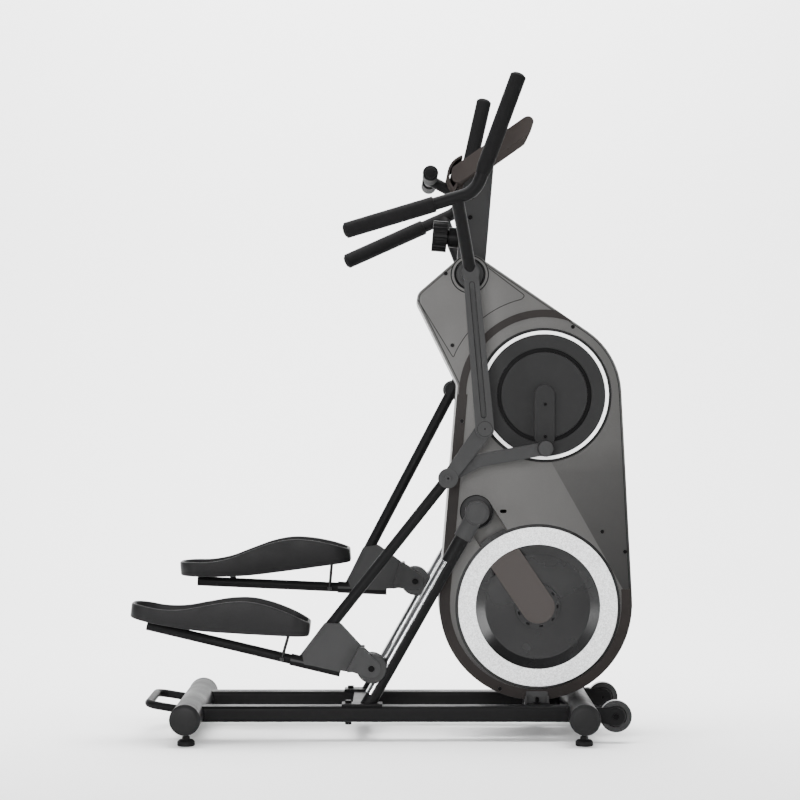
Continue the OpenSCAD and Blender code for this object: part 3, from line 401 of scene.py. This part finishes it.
# Every CAD node that shows gets its edges rounded; the sealed inner ones keep their mesh
softEdges = {
    "rear_stabiliser": 0.8, "front_stabiliser": 0.8, "right_base_rail": 0.8, "left_base_rail": 0.8, "cross_members": 2, "lifting_loop": 0.6,
    "right_transport_wheel": 2.5, "left_transport_wheel": 2.5, "right_rear_foot": 1, "left_rear_foot": 1, "right_front_foot": 1, "left_front_foot": 1,
    "right_roller_rail": 0.8, "left_roller_rail": 0.8, "rail_strips": 0.25, "rail_knuckles": 1.6, "trim_bands": 0.4, "fasteners": 0.6,
    "mast": 2.5, "clamp_knob": 1.2, "console_tray": 1.2, "tablet_ledge": 1.2, "display_window": 0.5, "start_button": 0.8,
    "adjust_rocker": 0.8, "crank_discs": 1, "crank_rings": 0.8, "crank_arms": 1.6, "silver_rings": 0.6, "hub_bars": 0.6,
    "right_roller": 1.2, "left_roller": 1.2, "right_roller_axle": 0.6, "left_roller_axle": 0.6,
    "right_link": 1.2, "left_link": 1.2, "handlebar": 0.8}
for node, width in softEdges.items():
    hand(node + "_soft", soften(node, width / 1000), slotOfNode[node], bodyOfNode[node], [node])
for node in ("tower_frame", "pivot_shaft", "crank_axle", "bearings", "drive_pulley", "flywheel", "drive_belt", "idler", "magnet_bracket", "brake_motor"):
    nodes[node].data.materials.clear()
    nodes[node].data.materials.append(finish[slotOfNode[node]])
    smoothFaces(nodes[node].data)
print("nodes softened:", len(softEdges))


# Housing: shell with rounded outline, the upper panel's line, seam, an oval slot, trough and foot bracket
housing = {"face": 0.105, "edgeRound": 0.0035, "discs": [(0.3894, 0.341, 0.246), (crankAt.x, crankAt.z, 0.197), (pivotAt.x, pivotAt.z, 0.05),
                                                        (0.1164, 1.116, 0.03), (0.165, 0.893, -0.025)],
           "seamIn": 0.0048, "seamWide": 0.0018, "panelArc": 0.251, "lineWide": 0.0017, "panelCorner": 0.009,
           "upperLine": ((0.268, 1.197), (0.3631, 1.1249)), "lowerLine": ((0.18, 0.966), (0.0885, 1.1152)),
           "slotAt": (0.3069, 0.5759), "slotLong": 0.0175, "slotWide": 0.0088, "troughRadius": 0.042}


def housingEdge(edge):  # 1 on the outline of the outer face, 0 round the openings
    outline = all(abs(v.co.y) > housing["face"] - 1e-4 for v in edge.verts) and all(abs(v.co.y) < housing["face"] + 1e-4 for v in edge.verts)
    middle = (edge.verts[0].co + edge.verts[1].co) / 2
    holes = [((crankAt.x, crankAt.z), 0.18), ((wheelAt.x, wheelAt.z), 0.222), ((pivotAt.x, pivotAt.z), 0.0475), (knuckleAt, 0.045)]
    inside = any(math.hypot(middle.x - p[0], middle.z - p[1]) < r for p, r in holes) or fromTrough(middle) < housing["troughRadius"] + 0.003
    slotted = math.hypot(middle.x - housing["slotAt"][0], middle.z - housing["slotAt"][1]) < 0.02
    return 0.0 if inside or slotted or not outline else 1.0


def fromTrough(point):  # distance from the trough's middle line, or far away where it doesn't reach
    start = Vector((knuckleAt[0], 0, knuckleAt[1]))
    away = Vector((point.x, 0, point.z)) - start
    along = away.dot(towardsWheel)
    return (away - towardsWheel * along).length if -0.002 < along < 0.11 else 1.0


def cutBy(mesh, *cutters):
    shell = bpy.data.objects.new("shell", mesh)
    bpy.context.scene.collection.objects.link(shell)
    tools = []
    for cutter in cutters:
        tool = bpy.data.objects.new("cutter", cutter)
        bpy.context.scene.collection.objects.link(tool)
        tools.append(tool)
        modifier = shell.modifiers.new("cut", "BOOLEAN")
        modifier.object, modifier.solver = tool, "EXACT"
    graph = bpy.context.evaluated_depsgraph_get()
    made = bpy.data.meshes.new_from_object(shell.evaluated_get(graph))
    for tool in [shell, *tools]:
        bpy.data.objects.remove(tool)
    return made


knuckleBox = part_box("rail_knuckles")
knuckleRound = 0.046
knuckleAt = (knuckleBox[1].x - knuckleRound, knuckleBox[1].z - knuckleRound)
towardsWheel = (Vector((wheelAt.x, 0, wheelAt.z)) - Vector((knuckleAt[0], 0, knuckleAt[1]))).normalized()


def troughLiner():  # a half pipe sunk in the housing's face, from the rail's socket to the wheel's gap
    r, face = housing["troughRadius"], housing["face"]
    across = Vector((towardsWheel.z, 0, -towardsWheel.x))
    start, reach = Vector((knuckleAt[0], face, knuckleAt[1])), 0.085
    bm = bmesh.new()
    rows = []
    for along in (0.0, reach):
        rows.append([bm.verts.new(start + towardsWheel * along + across * r * math.cos(a) + Vector((0, -0.55 * r * math.sin(a), 0)))
                     for a in [math.pi * k / 24 for k in range(25)]])
    for i in range(24):
        bm.faces.new((rows[0][i], rows[0][i + 1], rows[1][i + 1], rows[1][i]))
    bmesh.ops.recalc_face_normals(bm, faces=bm.faces)
    made = finished(meshOf(bm), [("SOLIDIFY", {"thickness": 0.0015, "offset": 0})])
    gap = turned([(0, face - 0.05), (0.2085, face - 0.05), (0.2085, face + 0.02), (0, face + 0.02)], (wheelAt.x, 0, wheelAt.z), (0, 1, 0), 96)
    return cutBy(made, gap)


def troughCutter():
    r, face = housing["troughRadius"], housing["face"]
    across = Vector((towardsWheel.z, 0, -towardsWheel.x))
    start = Vector((knuckleAt[0], 0, knuckleAt[1]))
    corners = [start + across * r, start - across * r, start - across * r + towardsWheel * 0.09, start + across * r + towardsWheel * 0.09]
    return plate([(c.x, c.z) for c in corners], face - 0.012, face + 0.01)


def slotLoop(at, long, wide, grow=0.0):
    half = (long - wide) / 2
    return wrapDiscs([(at[0] - half, at[1], wide / 2 + grow), (at[0] + half, at[1], wide / 2 + grow)], 0, 15)


def ribbon(points, width, low, high):  # a thin strip along an open line in the XZ plane
    edges = [[], []]
    for i, point in enumerate(points):
        before, after = Vector(points[max(i - 1, 0)]), Vector(points[min(i + 1, len(points) - 1)])
        run = (after - before).normalized()
        edges[0].append((point[0] - run.y * width / 2, point[1] + run.x * width / 2))
        edges[1].append((point[0] + run.y * width / 2, point[1] - run.x * width / 2))
    bm = bmesh.new()
    rows = [[bm.verts.new((x, y, z)) for x, z in edge] for edge, y in ((edges[0], low), (edges[0], high), (edges[1], high), (edges[1], low))]
    for a in range(4):
        for i in range(len(points) - 1):
            bm.faces.new((rows[a][i], rows[a][i + 1], rows[(a + 1) % 4][i + 1], rows[(a + 1) % 4][i]))
    for end in (0, -1):
        bm.faces.new([row[end] for row in rows])
    bmesh.ops.recalc_face_normals(bm, faces=bm.faces)
    return meshOf(bm)


def roundCorner(before, corner, after, trim, steps=6):
    a, b, c = Vector(before), Vector(corner), Vector(after)
    start, end = b + (a - b).normalized() * trim, b + (c - b).normalized() * trim
    spots = [start * (1 - t) ** 2 + b * 2 * t * (1 - t) + end * t ** 2 for t in [k / steps for k in range(steps + 1)]]
    return [(p.x, p.y) for p in spots]


def panelLine():
    (xa, za), (xb, zb) = housing["upperLine"]
    (xc, zc), (xd, zd) = housing["lowerLine"]
    first, last = (math.atan2(z - crankAt.z, x - crankAt.x) for x, z in ((xb, zb), (xc, zc)))
    arc = [(crankAt.x + housing["panelArc"] * math.cos(first + (last - first) * k / 40),
            crankAt.z + housing["panelArc"] * math.sin(first + (last - first) * k / 40)) for k in range(41)]
    trim = housing["panelCorner"]
    return [(xa, za)] + roundCorner((xa, za), (xb, zb), arc[2], trim) + arc[2:-2] + roundCorner(arc[-3], (xc, zc), (xd, zd), trim) + [(xd, zd)]


def circle(at, r, count=72):
    return [(at.x + r * math.cos(math.tau * k / count), at.z + r * math.sin(math.tau * k / count)) for k in range(count)]


def ringAt(at, outer, inner, low, high, count=72):
    return band(circle(at, outer, count), circle(at, inner, count), low, high)


for side in sideSign:
    node = side + "_housing"
    slots = plate(slotLoop(housing["slotAt"], housing["slotLong"], housing["slotWide"]), 0.09, 0.12)
    shell = cutBy(nodes[node].data, moved(troughCutter(), sideMatrix(side)), moved(slots, sideMatrix(side)))
    hand(node + "_shell", softened(shell, housing["edgeRound"], housingEdge, merge=0), "shell_grey", "frame", [node])
    hand(side + "_trough", smoothFaces(moved(troughLiner(), sideMatrix(side)), 40), "shell_grey", "frame")
face = housing["face"]
knuckleMiddle = Vector((knuckleAt[0], 0, knuckleAt[1]))


def seamsAndShadeRings():
    seam = band(wrapDiscs(housing["discs"], housing["seamIn"]), wrapDiscs(housing["discs"], housing["seamIn"] + housing["seamWide"]), face - 0.001, face + 0.0002)
    line = ribbon(panelLine(), housing["lineWide"], face - 0.001, face + 0.0003)
    # The rings round the pivot boss and in the rail's socket are painted shade: dark bands where the groove round the
    # boss, the gap round its hub and the socket's rim fall into shade
    return joined([seam, line, ringAt(pivotAt, 0.0488, 0.0459, face - 0.001, face + 0.0004), ringAt(pivotAt, 0.0402, 0.037, face + 0.003, face + 0.0064),
                   ringAt(knuckleMiddle, 0.0418, 0.0398, face - 0.01, face + 0.0008)])


hand("housing_seams", onBothSides(seamsAndShadeRings), "fastener_black", "frame")
print("housing done")


def screwHead(x, y, z, r, rise):
    return turned([(0, -0.001), (r, -0.001)] + dome(r, rise, rise * 0.6), (x, y, z), (0, 1, 0), 24)


# Foot bracket: the tower's foot plate that shows under the lower wheel
bracket = {"low": (0.364, 0.079), "high": (0.420, 0.118), "thick": 0.004, "out": 0.1075, "flange": 0.006, "boltRadius": 0.0042, "nutRadius": 0.0085}


def footBracket():
    (x0, z0), (x1, z1) = bracket["low"], bracket["high"]
    out, flange = bracket["out"], bracket["flange"]
    corners = [(x0 + 0.006, z0 + 0.006, 0.006), (x1 - 0.006, z0 + 0.006, 0.006), (x1 - 0.004, z1 - 0.004, 0.004), (x0 + 0.004, z1 - 0.004, 0.004)]
    pad = plate(wrapDiscs(corners, 0, 15), 0.09, out + bracket["thick"])
    sides = [plate([(x, z0), (x + flange, z0), (x + flange, z1 - 0.012), (x, z1 - 0.012)], out, out + 0.009) for x in (x0 - flange / 2, x1 - flange / 2)]
    return joined([pad, *sides])


def footNut():
    middle = ((bracket["low"][0] + bracket["high"][0]) / 2, bracket["out"] + 0.009, bracket["low"][1])
    stud = turned([(0, 0), (bracket["boltRadius"], 0), (bracket["boltRadius"], 0.024), (0, 0.026)], middle, (0, 0, 1), 24)
    nut = turned([(0, 0.004), (bracket["nutRadius"], 0.004), (bracket["nutRadius"], 0.012), (0, 0.012)], middle, (0, 0, 1), 6)
    return joined([stud, nut])


hand("foot_bracket", onBothSides(lambda: softened(footBracket(), 0.0012)), "grey_steel", "frame")
hand("foot_nuts", onBothSides(lambda: smoothFaces(footNut())), "fastener_black", "frame")


# Levers: black tube and handles, grey lower bar, boss rings; foam grips with rounded ends
leverShape = {"rear": (-0.3109, 0.310, 0.0976), "corner": (0.0084, 0.310, 0.1932), "top": (0.1142, 0.310, 0.4798), "upperGrip": 0.046, "lowerGrip": 0.106,
              "gripRadius": 0.020, "gripTaper": 0.03, "tubeRadius": 0.0159, "gripCap": 0.004, "blackFrom": 0.012, "barFace": 0.202, "groove": (0.030, 0.360, 0.0071),
              "lineWide": 0.0013, "endRing": 0.0195, "endDot": 0.0022}
leverTilt = {"right": 0.0, "left": jointSpan["right_lever_swing"][1]}
armTilt = {"right": 0.0, "left": jointSpan["right_arm_swing"][1]}


def tilted(side, at, degrees):
    return sideMatrix(side) @ Matrix.Translation((at.x, 0, at.z)) @ Matrix.Rotation(math.radians(-degrees), 4, "Y")


def foamSleeve(start, end, taper=0.0):  # foam rolled over at both ends, or thinned to nothing at its start
    r, bore, reach = leverShape["gripRadius"], leverShape["tubeRadius"], (Vector(end) - Vector(start)).length + leverShape["gripCap"]
    thin = bore + 0.0005
    rise = [(thin + (r - thin) * math.sin(math.pi / 2 * k / 6), taper * k / 6) for k in range(7)]
    lip = [(bore, 0.0)] + rise if taper else [(bore, 0.0), (bore + 0.002, 0.0)] + [(r - 0.002 + 0.002 * math.sin(a), 0.002 - 0.002 * math.cos(a)) for a in [math.pi / 2 * k / 4 for k in range(1, 5)]]
    last = [(rr, reach - 0.006 + h) for rr, h in dome(r, 0.0095, 0.0045)]
    return turned(lip + [(r, reach * k / 24) for k in range(1, 24) if reach * k / 24 > taper] + last + [(0, reach - 0.008), (bore, reach - 0.008)], start, Vector(end) - Vector(start), 40)


def tubeSection(side):
    turn = tilted(side, pivotAt, leverTilt[side]).inverted()
    return lambda face: (turn @ face.center).z > leverShape["blackFrom"]


def leverLines(side):  # the outline of the groove's insert, and the ring and dot over the lower pin
    reach = jointAt[side + "_link_swing"] - pivotAt
    along = Vector((reach.x, 0, reach.z)).normalized()
    first, last, half = leverShape["groove"]
    ends = [pivotAt + along * last, pivotAt + along * first]
    loop = [(p.x, p.z, half) for p in ends]
    low, high = leverShape["barFace"] - 0.002, leverShape["barFace"] + 0.0003
    pin = Vector((jointAt[side + "_link_swing"].x, 0, jointAt[side + "_link_swing"].z))
    parts = [band(wrapDiscs(loop, 0, 15), wrapDiscs(loop, leverShape["lineWide"], 15), low, high),
             ringAt(pin, leverShape["endRing"], leverShape["endRing"] - 0.0009, low, high, 48), screwHead(pin.x, leverShape["barFace"], pin.z, leverShape["endDot"], 0.0005)]
    return moved(joined(parts), sideMatrix(side))


for side in sideSign:
    place = tilted(side, pivotAt, leverTilt[side])
    rear, corner, top = (Vector(leverShape[key]) for key in ("rear", "corner", "top"))
    hand(side + "_lever_soft", soften(side + "_lever", 0.0014), "grey_steel", side + "_handle", [side + "_lever"], "black_steel", tubeSection(side))
    hand(side + "_lever_lines", leverLines(side), "fastener_black", side + "_handle")
    sleeves = [foamSleeve(corner + (top - corner).normalized() * leverShape["upperGrip"], top, leverShape["gripTaper"]),
               foamSleeve(corner + (rear - corner).normalized() * leverShape["lowerGrip"], rear)]
    foam = hand(side + "_foam_grips", smoothFaces(moved(joined(sleeves), place), 50), "foam_black", side + "_handle", [side + "_grips"])
barLow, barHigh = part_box("handlebar_grips")
barMiddle, barRadius = (barLow + barHigh) / 2, (barHigh.x - barLow.x) / 2


def barSleeve():
    reach = barHigh.y - 0.055
    return turned([(0.014, 0), (barRadius - 0.002, 0), (barRadius, 0.002)] + [(barRadius, reach * k / 12) for k in range(1, 11)] +
                  [(r, reach - 0.012 + h) for r, h in dome(barRadius + 0.0008, 0.012, 0.008)] + [(0, reach - 0.016), (0.014, reach - 0.016)],
                  (barMiddle.x, 0.055, barMiddle.z), (0, 1, 0), 40)


fixedFoam = hand("handlebar_foam", smoothFaces(onBothSides(barSleeve), 50), "foam_black", "frame", ["handlebar_grips"])
print("levers and grips done")


# Stabiliser caps and rail knuckle ends: domed
capLook = {"radius": 0.0388, "collar": 0.0392, "depth": 0.016, "rise": 0.0085, "edge": 0.005}
knuckleLook = {"radius": 0.0305, "rise": 0.009, "edge": 0.004}


def domedCap(front):
    low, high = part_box("stabiliser_caps")
    reach = (high.z - low.z) / 2
    middle = high.x - reach if front else low.x + reach
    profile = [(0, -capLook["depth"]), (capLook["radius"], -capLook["depth"])] + dome(capLook["radius"], capLook["rise"], capLook["edge"])
    return turned(profile, (middle, high.y - capLook["edge"], low.z + reach), (0, 1, 0), 64)


hand("domed_caps", smoothFaces(onBothSides(lambda: joined([domedCap(front) for front in (False, True)])), 40),
     "cap_plastic", "frame", ["stabiliser_caps"])
hand("knuckle_domes", smoothFaces(onBothSides(lambda: turned([(0, -0.004)] + [(r, h - 0.004) for r, h in [(knuckleLook["radius"], 0)]] +
     dome(knuckleLook["radius"], knuckleLook["rise"], knuckleLook["edge"]), (knuckleAt[0], knuckleBox[1].y, knuckleAt[1]), (0, 1, 0), 48)), 40), "grey_steel", "frame")


# Lower wheel: a dished disc with a bevelled rim, and a hub whose slots are black plates painted as the shade in them
dish = {"rim": 0.1585, "bevelFoot": 0.134, "depth": 0.0115, "hub": 0.0585, "hubHeight": 0.005, "slots": 9, "slotRadius": 0.0505, "slotSize": (0.0095, 0.005)}
dishLow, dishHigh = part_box("wheel_discs")
dishFace = dishHigh.y


def wheelDish():
    back = dishFace - 0.0135
    floor = dishFace - dish["depth"]
    outer = (dishHigh.x - dishLow.x) / 2
    ringRadius = (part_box("silver_rings")[1].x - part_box("silver_rings")[0].x) / 2
    return turned([(0, back), (outer, back), (outer, back + 0.003), (ringRadius, back + 0.003), (ringRadius, dishFace), (dish["rim"], dishFace), (dish["bevelFoot"], floor),
                   (dish["hub"], floor), (dish["hub"] - 0.001, floor + dish["hubHeight"]), (0, floor + dish["hubHeight"])],
                  (wheelAt.x, 0, wheelAt.z), (0, 1, 0), 128)


# black plates on the hub top are painted shade standing for the slots' openings
def hubSlotShade():
    long, wide = dish["slotSize"]
    top = dishFace - dish["depth"] + dish["hubHeight"]
    stamp = plate([(-wide / 2, -long / 2), (wide / 2, -long / 2), (wide / 2, long / 2), (-wide / 2, long / 2)], top - 0.001, top + 0.0002)
    around = repeated(stamp, "fastener_black", dish["slots"], radius=dish["slotRadius"], turnBetween=math.tau / dish["slots"])
    return moved(around, Matrix.Translation((wheelAt.x, 0, wheelAt.z)))


hand("wheel_dishes", smoothFaces(onBothSides(wheelDish), 12), "wheel_plastic", "flywheel_set", ["wheel_discs"])
hand("hub_slots", onBothSides(hubSlotShade), "fastener_black", "flywheel_set")


# Crank: glossy black groove ring and arm screws
crankLook = {"grooveOuter": 0.1195, "grooveInner": 0.1105, "screws": (0.023, 0.105), "screwRadius": 0.0042, "screwRise": 0.0015}
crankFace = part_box("crank_discs")[1].y
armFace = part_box("crank_arms")[1].y


hand("crank_groove_rings", onBothSides(lambda: ringAt(crankAt, crankLook["grooveOuter"], crankLook["grooveInner"], crankFace - 0.002, crankFace + 0.0006)),
     "fastener_black", "crankset")
crankScrews = [moved(screwHead(crankAt.x, armFace, crankAt.z + sign * reach, crankLook["screwRadius"], crankLook["screwRise"]), sideMatrix(side))
               for side, sign in (("right", -1), ("left", 1)) for reach in crankLook["screws"]]
hand("crank_screws", smoothFaces(joined(crankScrews), 40), "fastener_black", "crankset")
print("wheel and crank done")


# Pedals: a lofted tray with a rolled rim, rising at the instep, and ribs across its floor
pedal = {"place": (-0.606, 0.1315), "middle": 0.168, "pitch": 6.35, "long": 0.452, "wide": 0.16, "rearCorner": 0.058, "frontCorner": 0.045,
         "rim": ((0.0, 0.036), (0.03, 0.0345), (0.08, 0.031), (0.13, 0.036), (0.19, 0.053), (0.25, 0.069), (0.30, 0.074), (0.35, 0.068), (0.40, 0.055), (0.452, 0.036)),
         "foot": ((0.0, 0.0), (0.06, -0.006), (0.17, -0.012), (0.28, -0.008), (0.385, -0.002), (0.452, 0.002)),
         "floor": 0.011, "ribs": 21, "ribStep": 0.0165, "ribStart": 0.052, "ribWide": 0.1, "ribRise": 0.0022,
         "section": ((0.010, 0.0, 0.0), (0.003, 0.0, 0.0), (0.0008, 0.0, 0.0015), (0.0, 0.0, 0.004), (0.0, 1.0, -0.004), (0.0006, 1.0, -0.0015),
                     (0.0022, 1.0, -0.0002), (0.0045, 1.0, 0.0), (0.0066, 1.0, -0.0006), (0.0078, 1.0, -0.0026), (0.0086, 1.0, -0.006))}


def curveAt(points, x):  # a smooth height through given points
    xs, zs = zip(*points)
    slopes = np.gradient(zs, xs)
    i = max(0, min(len(xs) - 2, int(np.searchsorted(xs, x)) - 1))
    gap = xs[i + 1] - xs[i]
    t = min(1.0, max(0.0, (x - xs[i]) / gap))
    return ((2 * t ** 3 - 3 * t ** 2 + 1) * zs[i] + (t ** 3 - 2 * t ** 2 + t) * gap * slopes[i] +
            (3 * t ** 2 - 2 * t ** 3) * zs[i + 1] + (t ** 3 - t ** 2) * gap * slopes[i + 1])


def pedalPlan(inset, steps=14, runs=26):  # half the outline, from the rear middle to the front middle, as (x, half width)
    half, rear, front = pedal["wide"] / 2 - inset, pedal["rearCorner"] - inset * 0.7, pedal["frontCorner"] - inset * 0.7
    x0, x1 = inset, pedal["long"] - inset
    side = [(x0 + rear - rear * math.cos(a), half - rear + rear * math.sin(a)) for a in [math.pi / 2 * k / steps for k in range(steps + 1)]]
    side += [(x0 + rear + (x1 - front - x0 - rear) * k / runs, half) for k in range(1, runs)]
    side += [(x1 - front + front * math.sin(a), half - front + front * math.cos(a)) for a in [math.pi / 2 * k / steps for k in range(steps + 1)]]
    ends = 4
    return [(x0, (half - rear) * k / ends) for k in range(ends)] + side + [(x1, (half - front) * (ends - 1 - k) / ends) for k in range(ends)]


def pedalTray():
    bm = bmesh.new()
    rings = []
    levels = [(inset, up, lift, None) for inset, up, lift in pedal["section"]]
    levels += [(0.0098, 0, 0.004, pedal["floor"]), (0.0125, 0, 0.0008, pedal["floor"]), (0.0155, 0, 0.0, pedal["floor"])]
    for inset, up, lift, fixed in levels:
        plan = pedalPlan(inset)
        loop = [(x, y) for x, y in plan] + [(x, -y) for x, y in reversed(plan[1:-1])]
        rings.append([bm.verts.new((x, y, (fixed if fixed is not None else curveAt(pedal["rim"] if up else pedal["foot"], x)) + lift)) for x, y in loop])
    count = len(rings[0])
    for a, b in zip(rings, rings[1:]):
        for i in range(count):
            j = (i + 1) % count
            bm.faces.new((a[i], a[j], b[j], b[i]))
    half = count // 2
    for ring in (rings[0], rings[-1]):  # close the underside and the floor with strips across
        for i in range(half):
            left, right = (ring[i], ring[i + 1]), (ring[-i % count], ring[-(i + 1) % count])
            corners = [left[0], left[1], right[1], right[0]]
            corners = [c for k, c in enumerate(corners) if c not in corners[:k]]
            if len(corners) > 2:
                bm.faces.new(corners)
    bmesh.ops.recalc_face_normals(bm, faces=bm.faces)
    return meshOf(bm)


def pedalRibs():
    wide, rise = pedal["ribWide"], pedal["ribRise"]
    rib = plate(wrapDiscs([(-0.0022, 0, 0.0016), (0.0022, 0, 0.0016), (0.0, rise - 0.0012, 0.0012)], 0, 30), -wide / 2, wide / 2)
    ribs = repeated(rib, "pedal_plastic", pedal["ribs"], step=(pedal["ribStep"], 0, 0))
    return moved(ribs, Matrix.Translation((pedal["ribStart"], 0, pedal["floor"])))


for side in sideSign:
    place = tilted(side, jointAt[side + "_arm_swing"], armTilt[side]) @ Matrix.Translation((pedal["place"][0], pedal["middle"], pedal["place"][1])) @ \
        Matrix.Rotation(math.radians(pedal["pitch"]), 4, "Y")
    hand(side + "_pedal_tray", smoothFaces(moved(pedalTray(), place), 50), "pedal_plastic", side + "_arm", [side + "_pedal"])
    hand(side + "_pedal_ribs", smoothFaces(moved(pedalRibs(), place), 40), "pedal_plastic", side + "_arm")
print("pedals done")


# Pedal arms: black tubes, and grey flat faces on the gusset and the push rod; the edge faces of the gusset and rod take
# the black finish as painted shade
armLook = {"track": 0.160, "tubeRadius": 0.0147, "rodHalf": 0.0125, "rodAbove": 0.45, "facing": 0.97, "edge": 0.0007}


def greyFacesShadedEdges(side):
    low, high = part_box(side + "_pedal_arm")
    rodFrom = low.z + (high.z - low.z) * armLook["rodAbove"]

    # flat faces stay grey; the gusset's and rod's edge faces get black as painted shade on their edges
    def chosen(face):
        off = abs(abs(face.center.y) - armLook["track"])
        flat = abs(face.normal.y) > armLook["facing"]
        return flat and (off > armLook["tubeRadius"] or (face.center.z > rodFrom and off < armLook["rodHalf"]))
    return chosen


for side in sideSign:
    hand(side + "_pedal_arm_soft", soften(side + "_pedal_arm", armLook["edge"]), "black_steel", side + "_arm", [side + "_pedal_arm"], "grey_steel", greyFacesShadedEdges(side))


# Caps on the crank pins and on the link bolts, with dark rings round them
pivotCaps = {"crankReach": 0.1346, "pinCap": 0.0192, "pinRing": 0.0209, "pinFace": 0.178, "linkBolt": 0.0062, "linkRing": 0.0092, "linkRound": 0.0252, "rise": 0.002}


def capAndRing(x, y, z, capRadius, ringRadius, rise, ringWide=0.0014):
    at = Vector((x, 0, z))
    return [ringAt(at, ringRadius, ringRadius - ringWide, y - 0.002, y + 0.0003, 40), screwHead(x, y, z, capRadius, rise)]


for side in sideSign:
    upward = 1 if side == "left" else -1
    pin = capAndRing(crankAt.x, pivotCaps["pinFace"], crankAt.z + upward * pivotCaps["crankReach"], pivotCaps["pinCap"], pivotCaps["pinRing"], pivotCaps["rise"])
    ring, cap = (moved(mesh, sideMatrix(side)) for mesh in pin)
    hand(side + "_pin_ring", ring, "fastener_black", side + "_arm")
    hand(side + "_pin_cap", smoothFaces(cap, 40), "grey_steel", side + "_arm")
    low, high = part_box(side + "_link")
    reach = pivotCaps["linkRound"]
    linkFace = max(abs(low.y), abs(high.y)) - 0.004
    bolt = capAndRing(low.x + reach, linkFace, high.z - reach if side == "left" else low.z + reach, pivotCaps["linkBolt"], pivotCaps["linkRing"], 0.005)
    hand(side + "_link_cap", smoothFaces(moved(joined(bolt), sideMatrix(side)), 40), "fastener_black", side + "_link_bar")
print("caps done")


# Stage, light and camera
room = {"floorTone": 0.96, "glow": 0.14, "cameraAt": (0.0434, -6.4, 0.8596), "lens": 111.15}


def paleFloor():
    material = bpy.data.materials.new("paleFloor")
    material.use_nodes = True
    shader = next(n for n in material.node_tree.nodes if n.type == "BSDF_PRINCIPLED")
    add = nodeTools(material)
    where = add("ShaderNodeTexCoord").outputs["Object"]
    clouds = add("ShaderNodeTexNoise", {"Vector": where, "Scale": 3, "Detail": 4})
    tone = room["floorTone"]
    base = add("ShaderNodeMix", {"Factor": clouds.outputs[0], "A": (tone - 0.01,) * 3 + (1,), "B": (tone + 0.01,) * 3 + (1,)}, data_type="RGBA")
    material.node_tree.links.new(base.outputs[2], shader.inputs["Base Color"])
    shader.inputs["Roughness"].default_value = 0.75
    shader.inputs["Specular IOR Level"].default_value = 0.1
    bm = bmesh.new()
    rows = [(-5.0, 0.0)] + [(2.2 + 1.6 * math.sin(a), 1.6 - 1.6 * math.cos(a)) for a in [math.pi / 2 * k / 12 for k in range(13)]] + [(3.8, 6.0)]
    lines = [[bm.verts.new((x, y, z)) for x in (-7, 7)] for y, z in rows]
    for a, b in zip(lines, lines[1:]):
        bm.faces.new((a[0], a[1], b[1], b[0]))
    mesh = smoothFaces(meshOf(bm))
    mesh.materials.append(material)
    floor = bpy.data.objects.new("floor", mesh)
    bpy.context.scene.collection.objects.link(floor)


def softLight(name, at, size, power, aim=(0, 0, 0.8), tall=None):
    lamp = bpy.data.lights.new(name, "AREA")
    lamp.shape, lamp.size, lamp.size_y, lamp.energy = "RECTANGLE", size, tall or size, power
    holder = bpy.data.objects.new(name, lamp)
    holder.location = at
    holder.rotation_euler = (Vector(aim) - Vector(at)).to_track_quat("-Z", "Y").to_euler()
    bpy.context.scene.collection.objects.link(holder)


paleFloor()
softLight("keyLight", (-0.7, -5.4, 1.6), 2.0, 330)
softLight("topLight", (0.2, 0.3, 4.4), 3.2, 60)
softLight("leftStrip", (-4.2, -3.9, 1.0), 1.0, 170, tall=2.2)
softLight("rightStrip", (4.7, -3.6, 1.0), 1.0, 150, tall=2.2)
softLight("wallLight", (0, 1.0, 4.8), 5.0, 900, aim=(0, 4.2, 1.4))
world = bpy.data.worlds.new("studio")
world.use_nodes = True
world.node_tree.nodes["Background"].inputs[0].default_value = (0.9, 0.92, 0.95, 1)
world.node_tree.nodes["Background"].inputs[1].default_value = room["glow"]
bpy.context.scene.world = world
eye = bpy.data.cameras.new("camera")
eye.lens, eye.sensor_width, eye.clip_end = room["lens"], 36, 60
camera = bpy.data.objects.new("camera", eye)
camera.location, camera.rotation_euler = room["cameraAt"], (math.pi / 2, 0, 0)
bpy.context.scene.collection.objects.link(camera)
bpy.context.scene.camera = camera

print("scene finished")
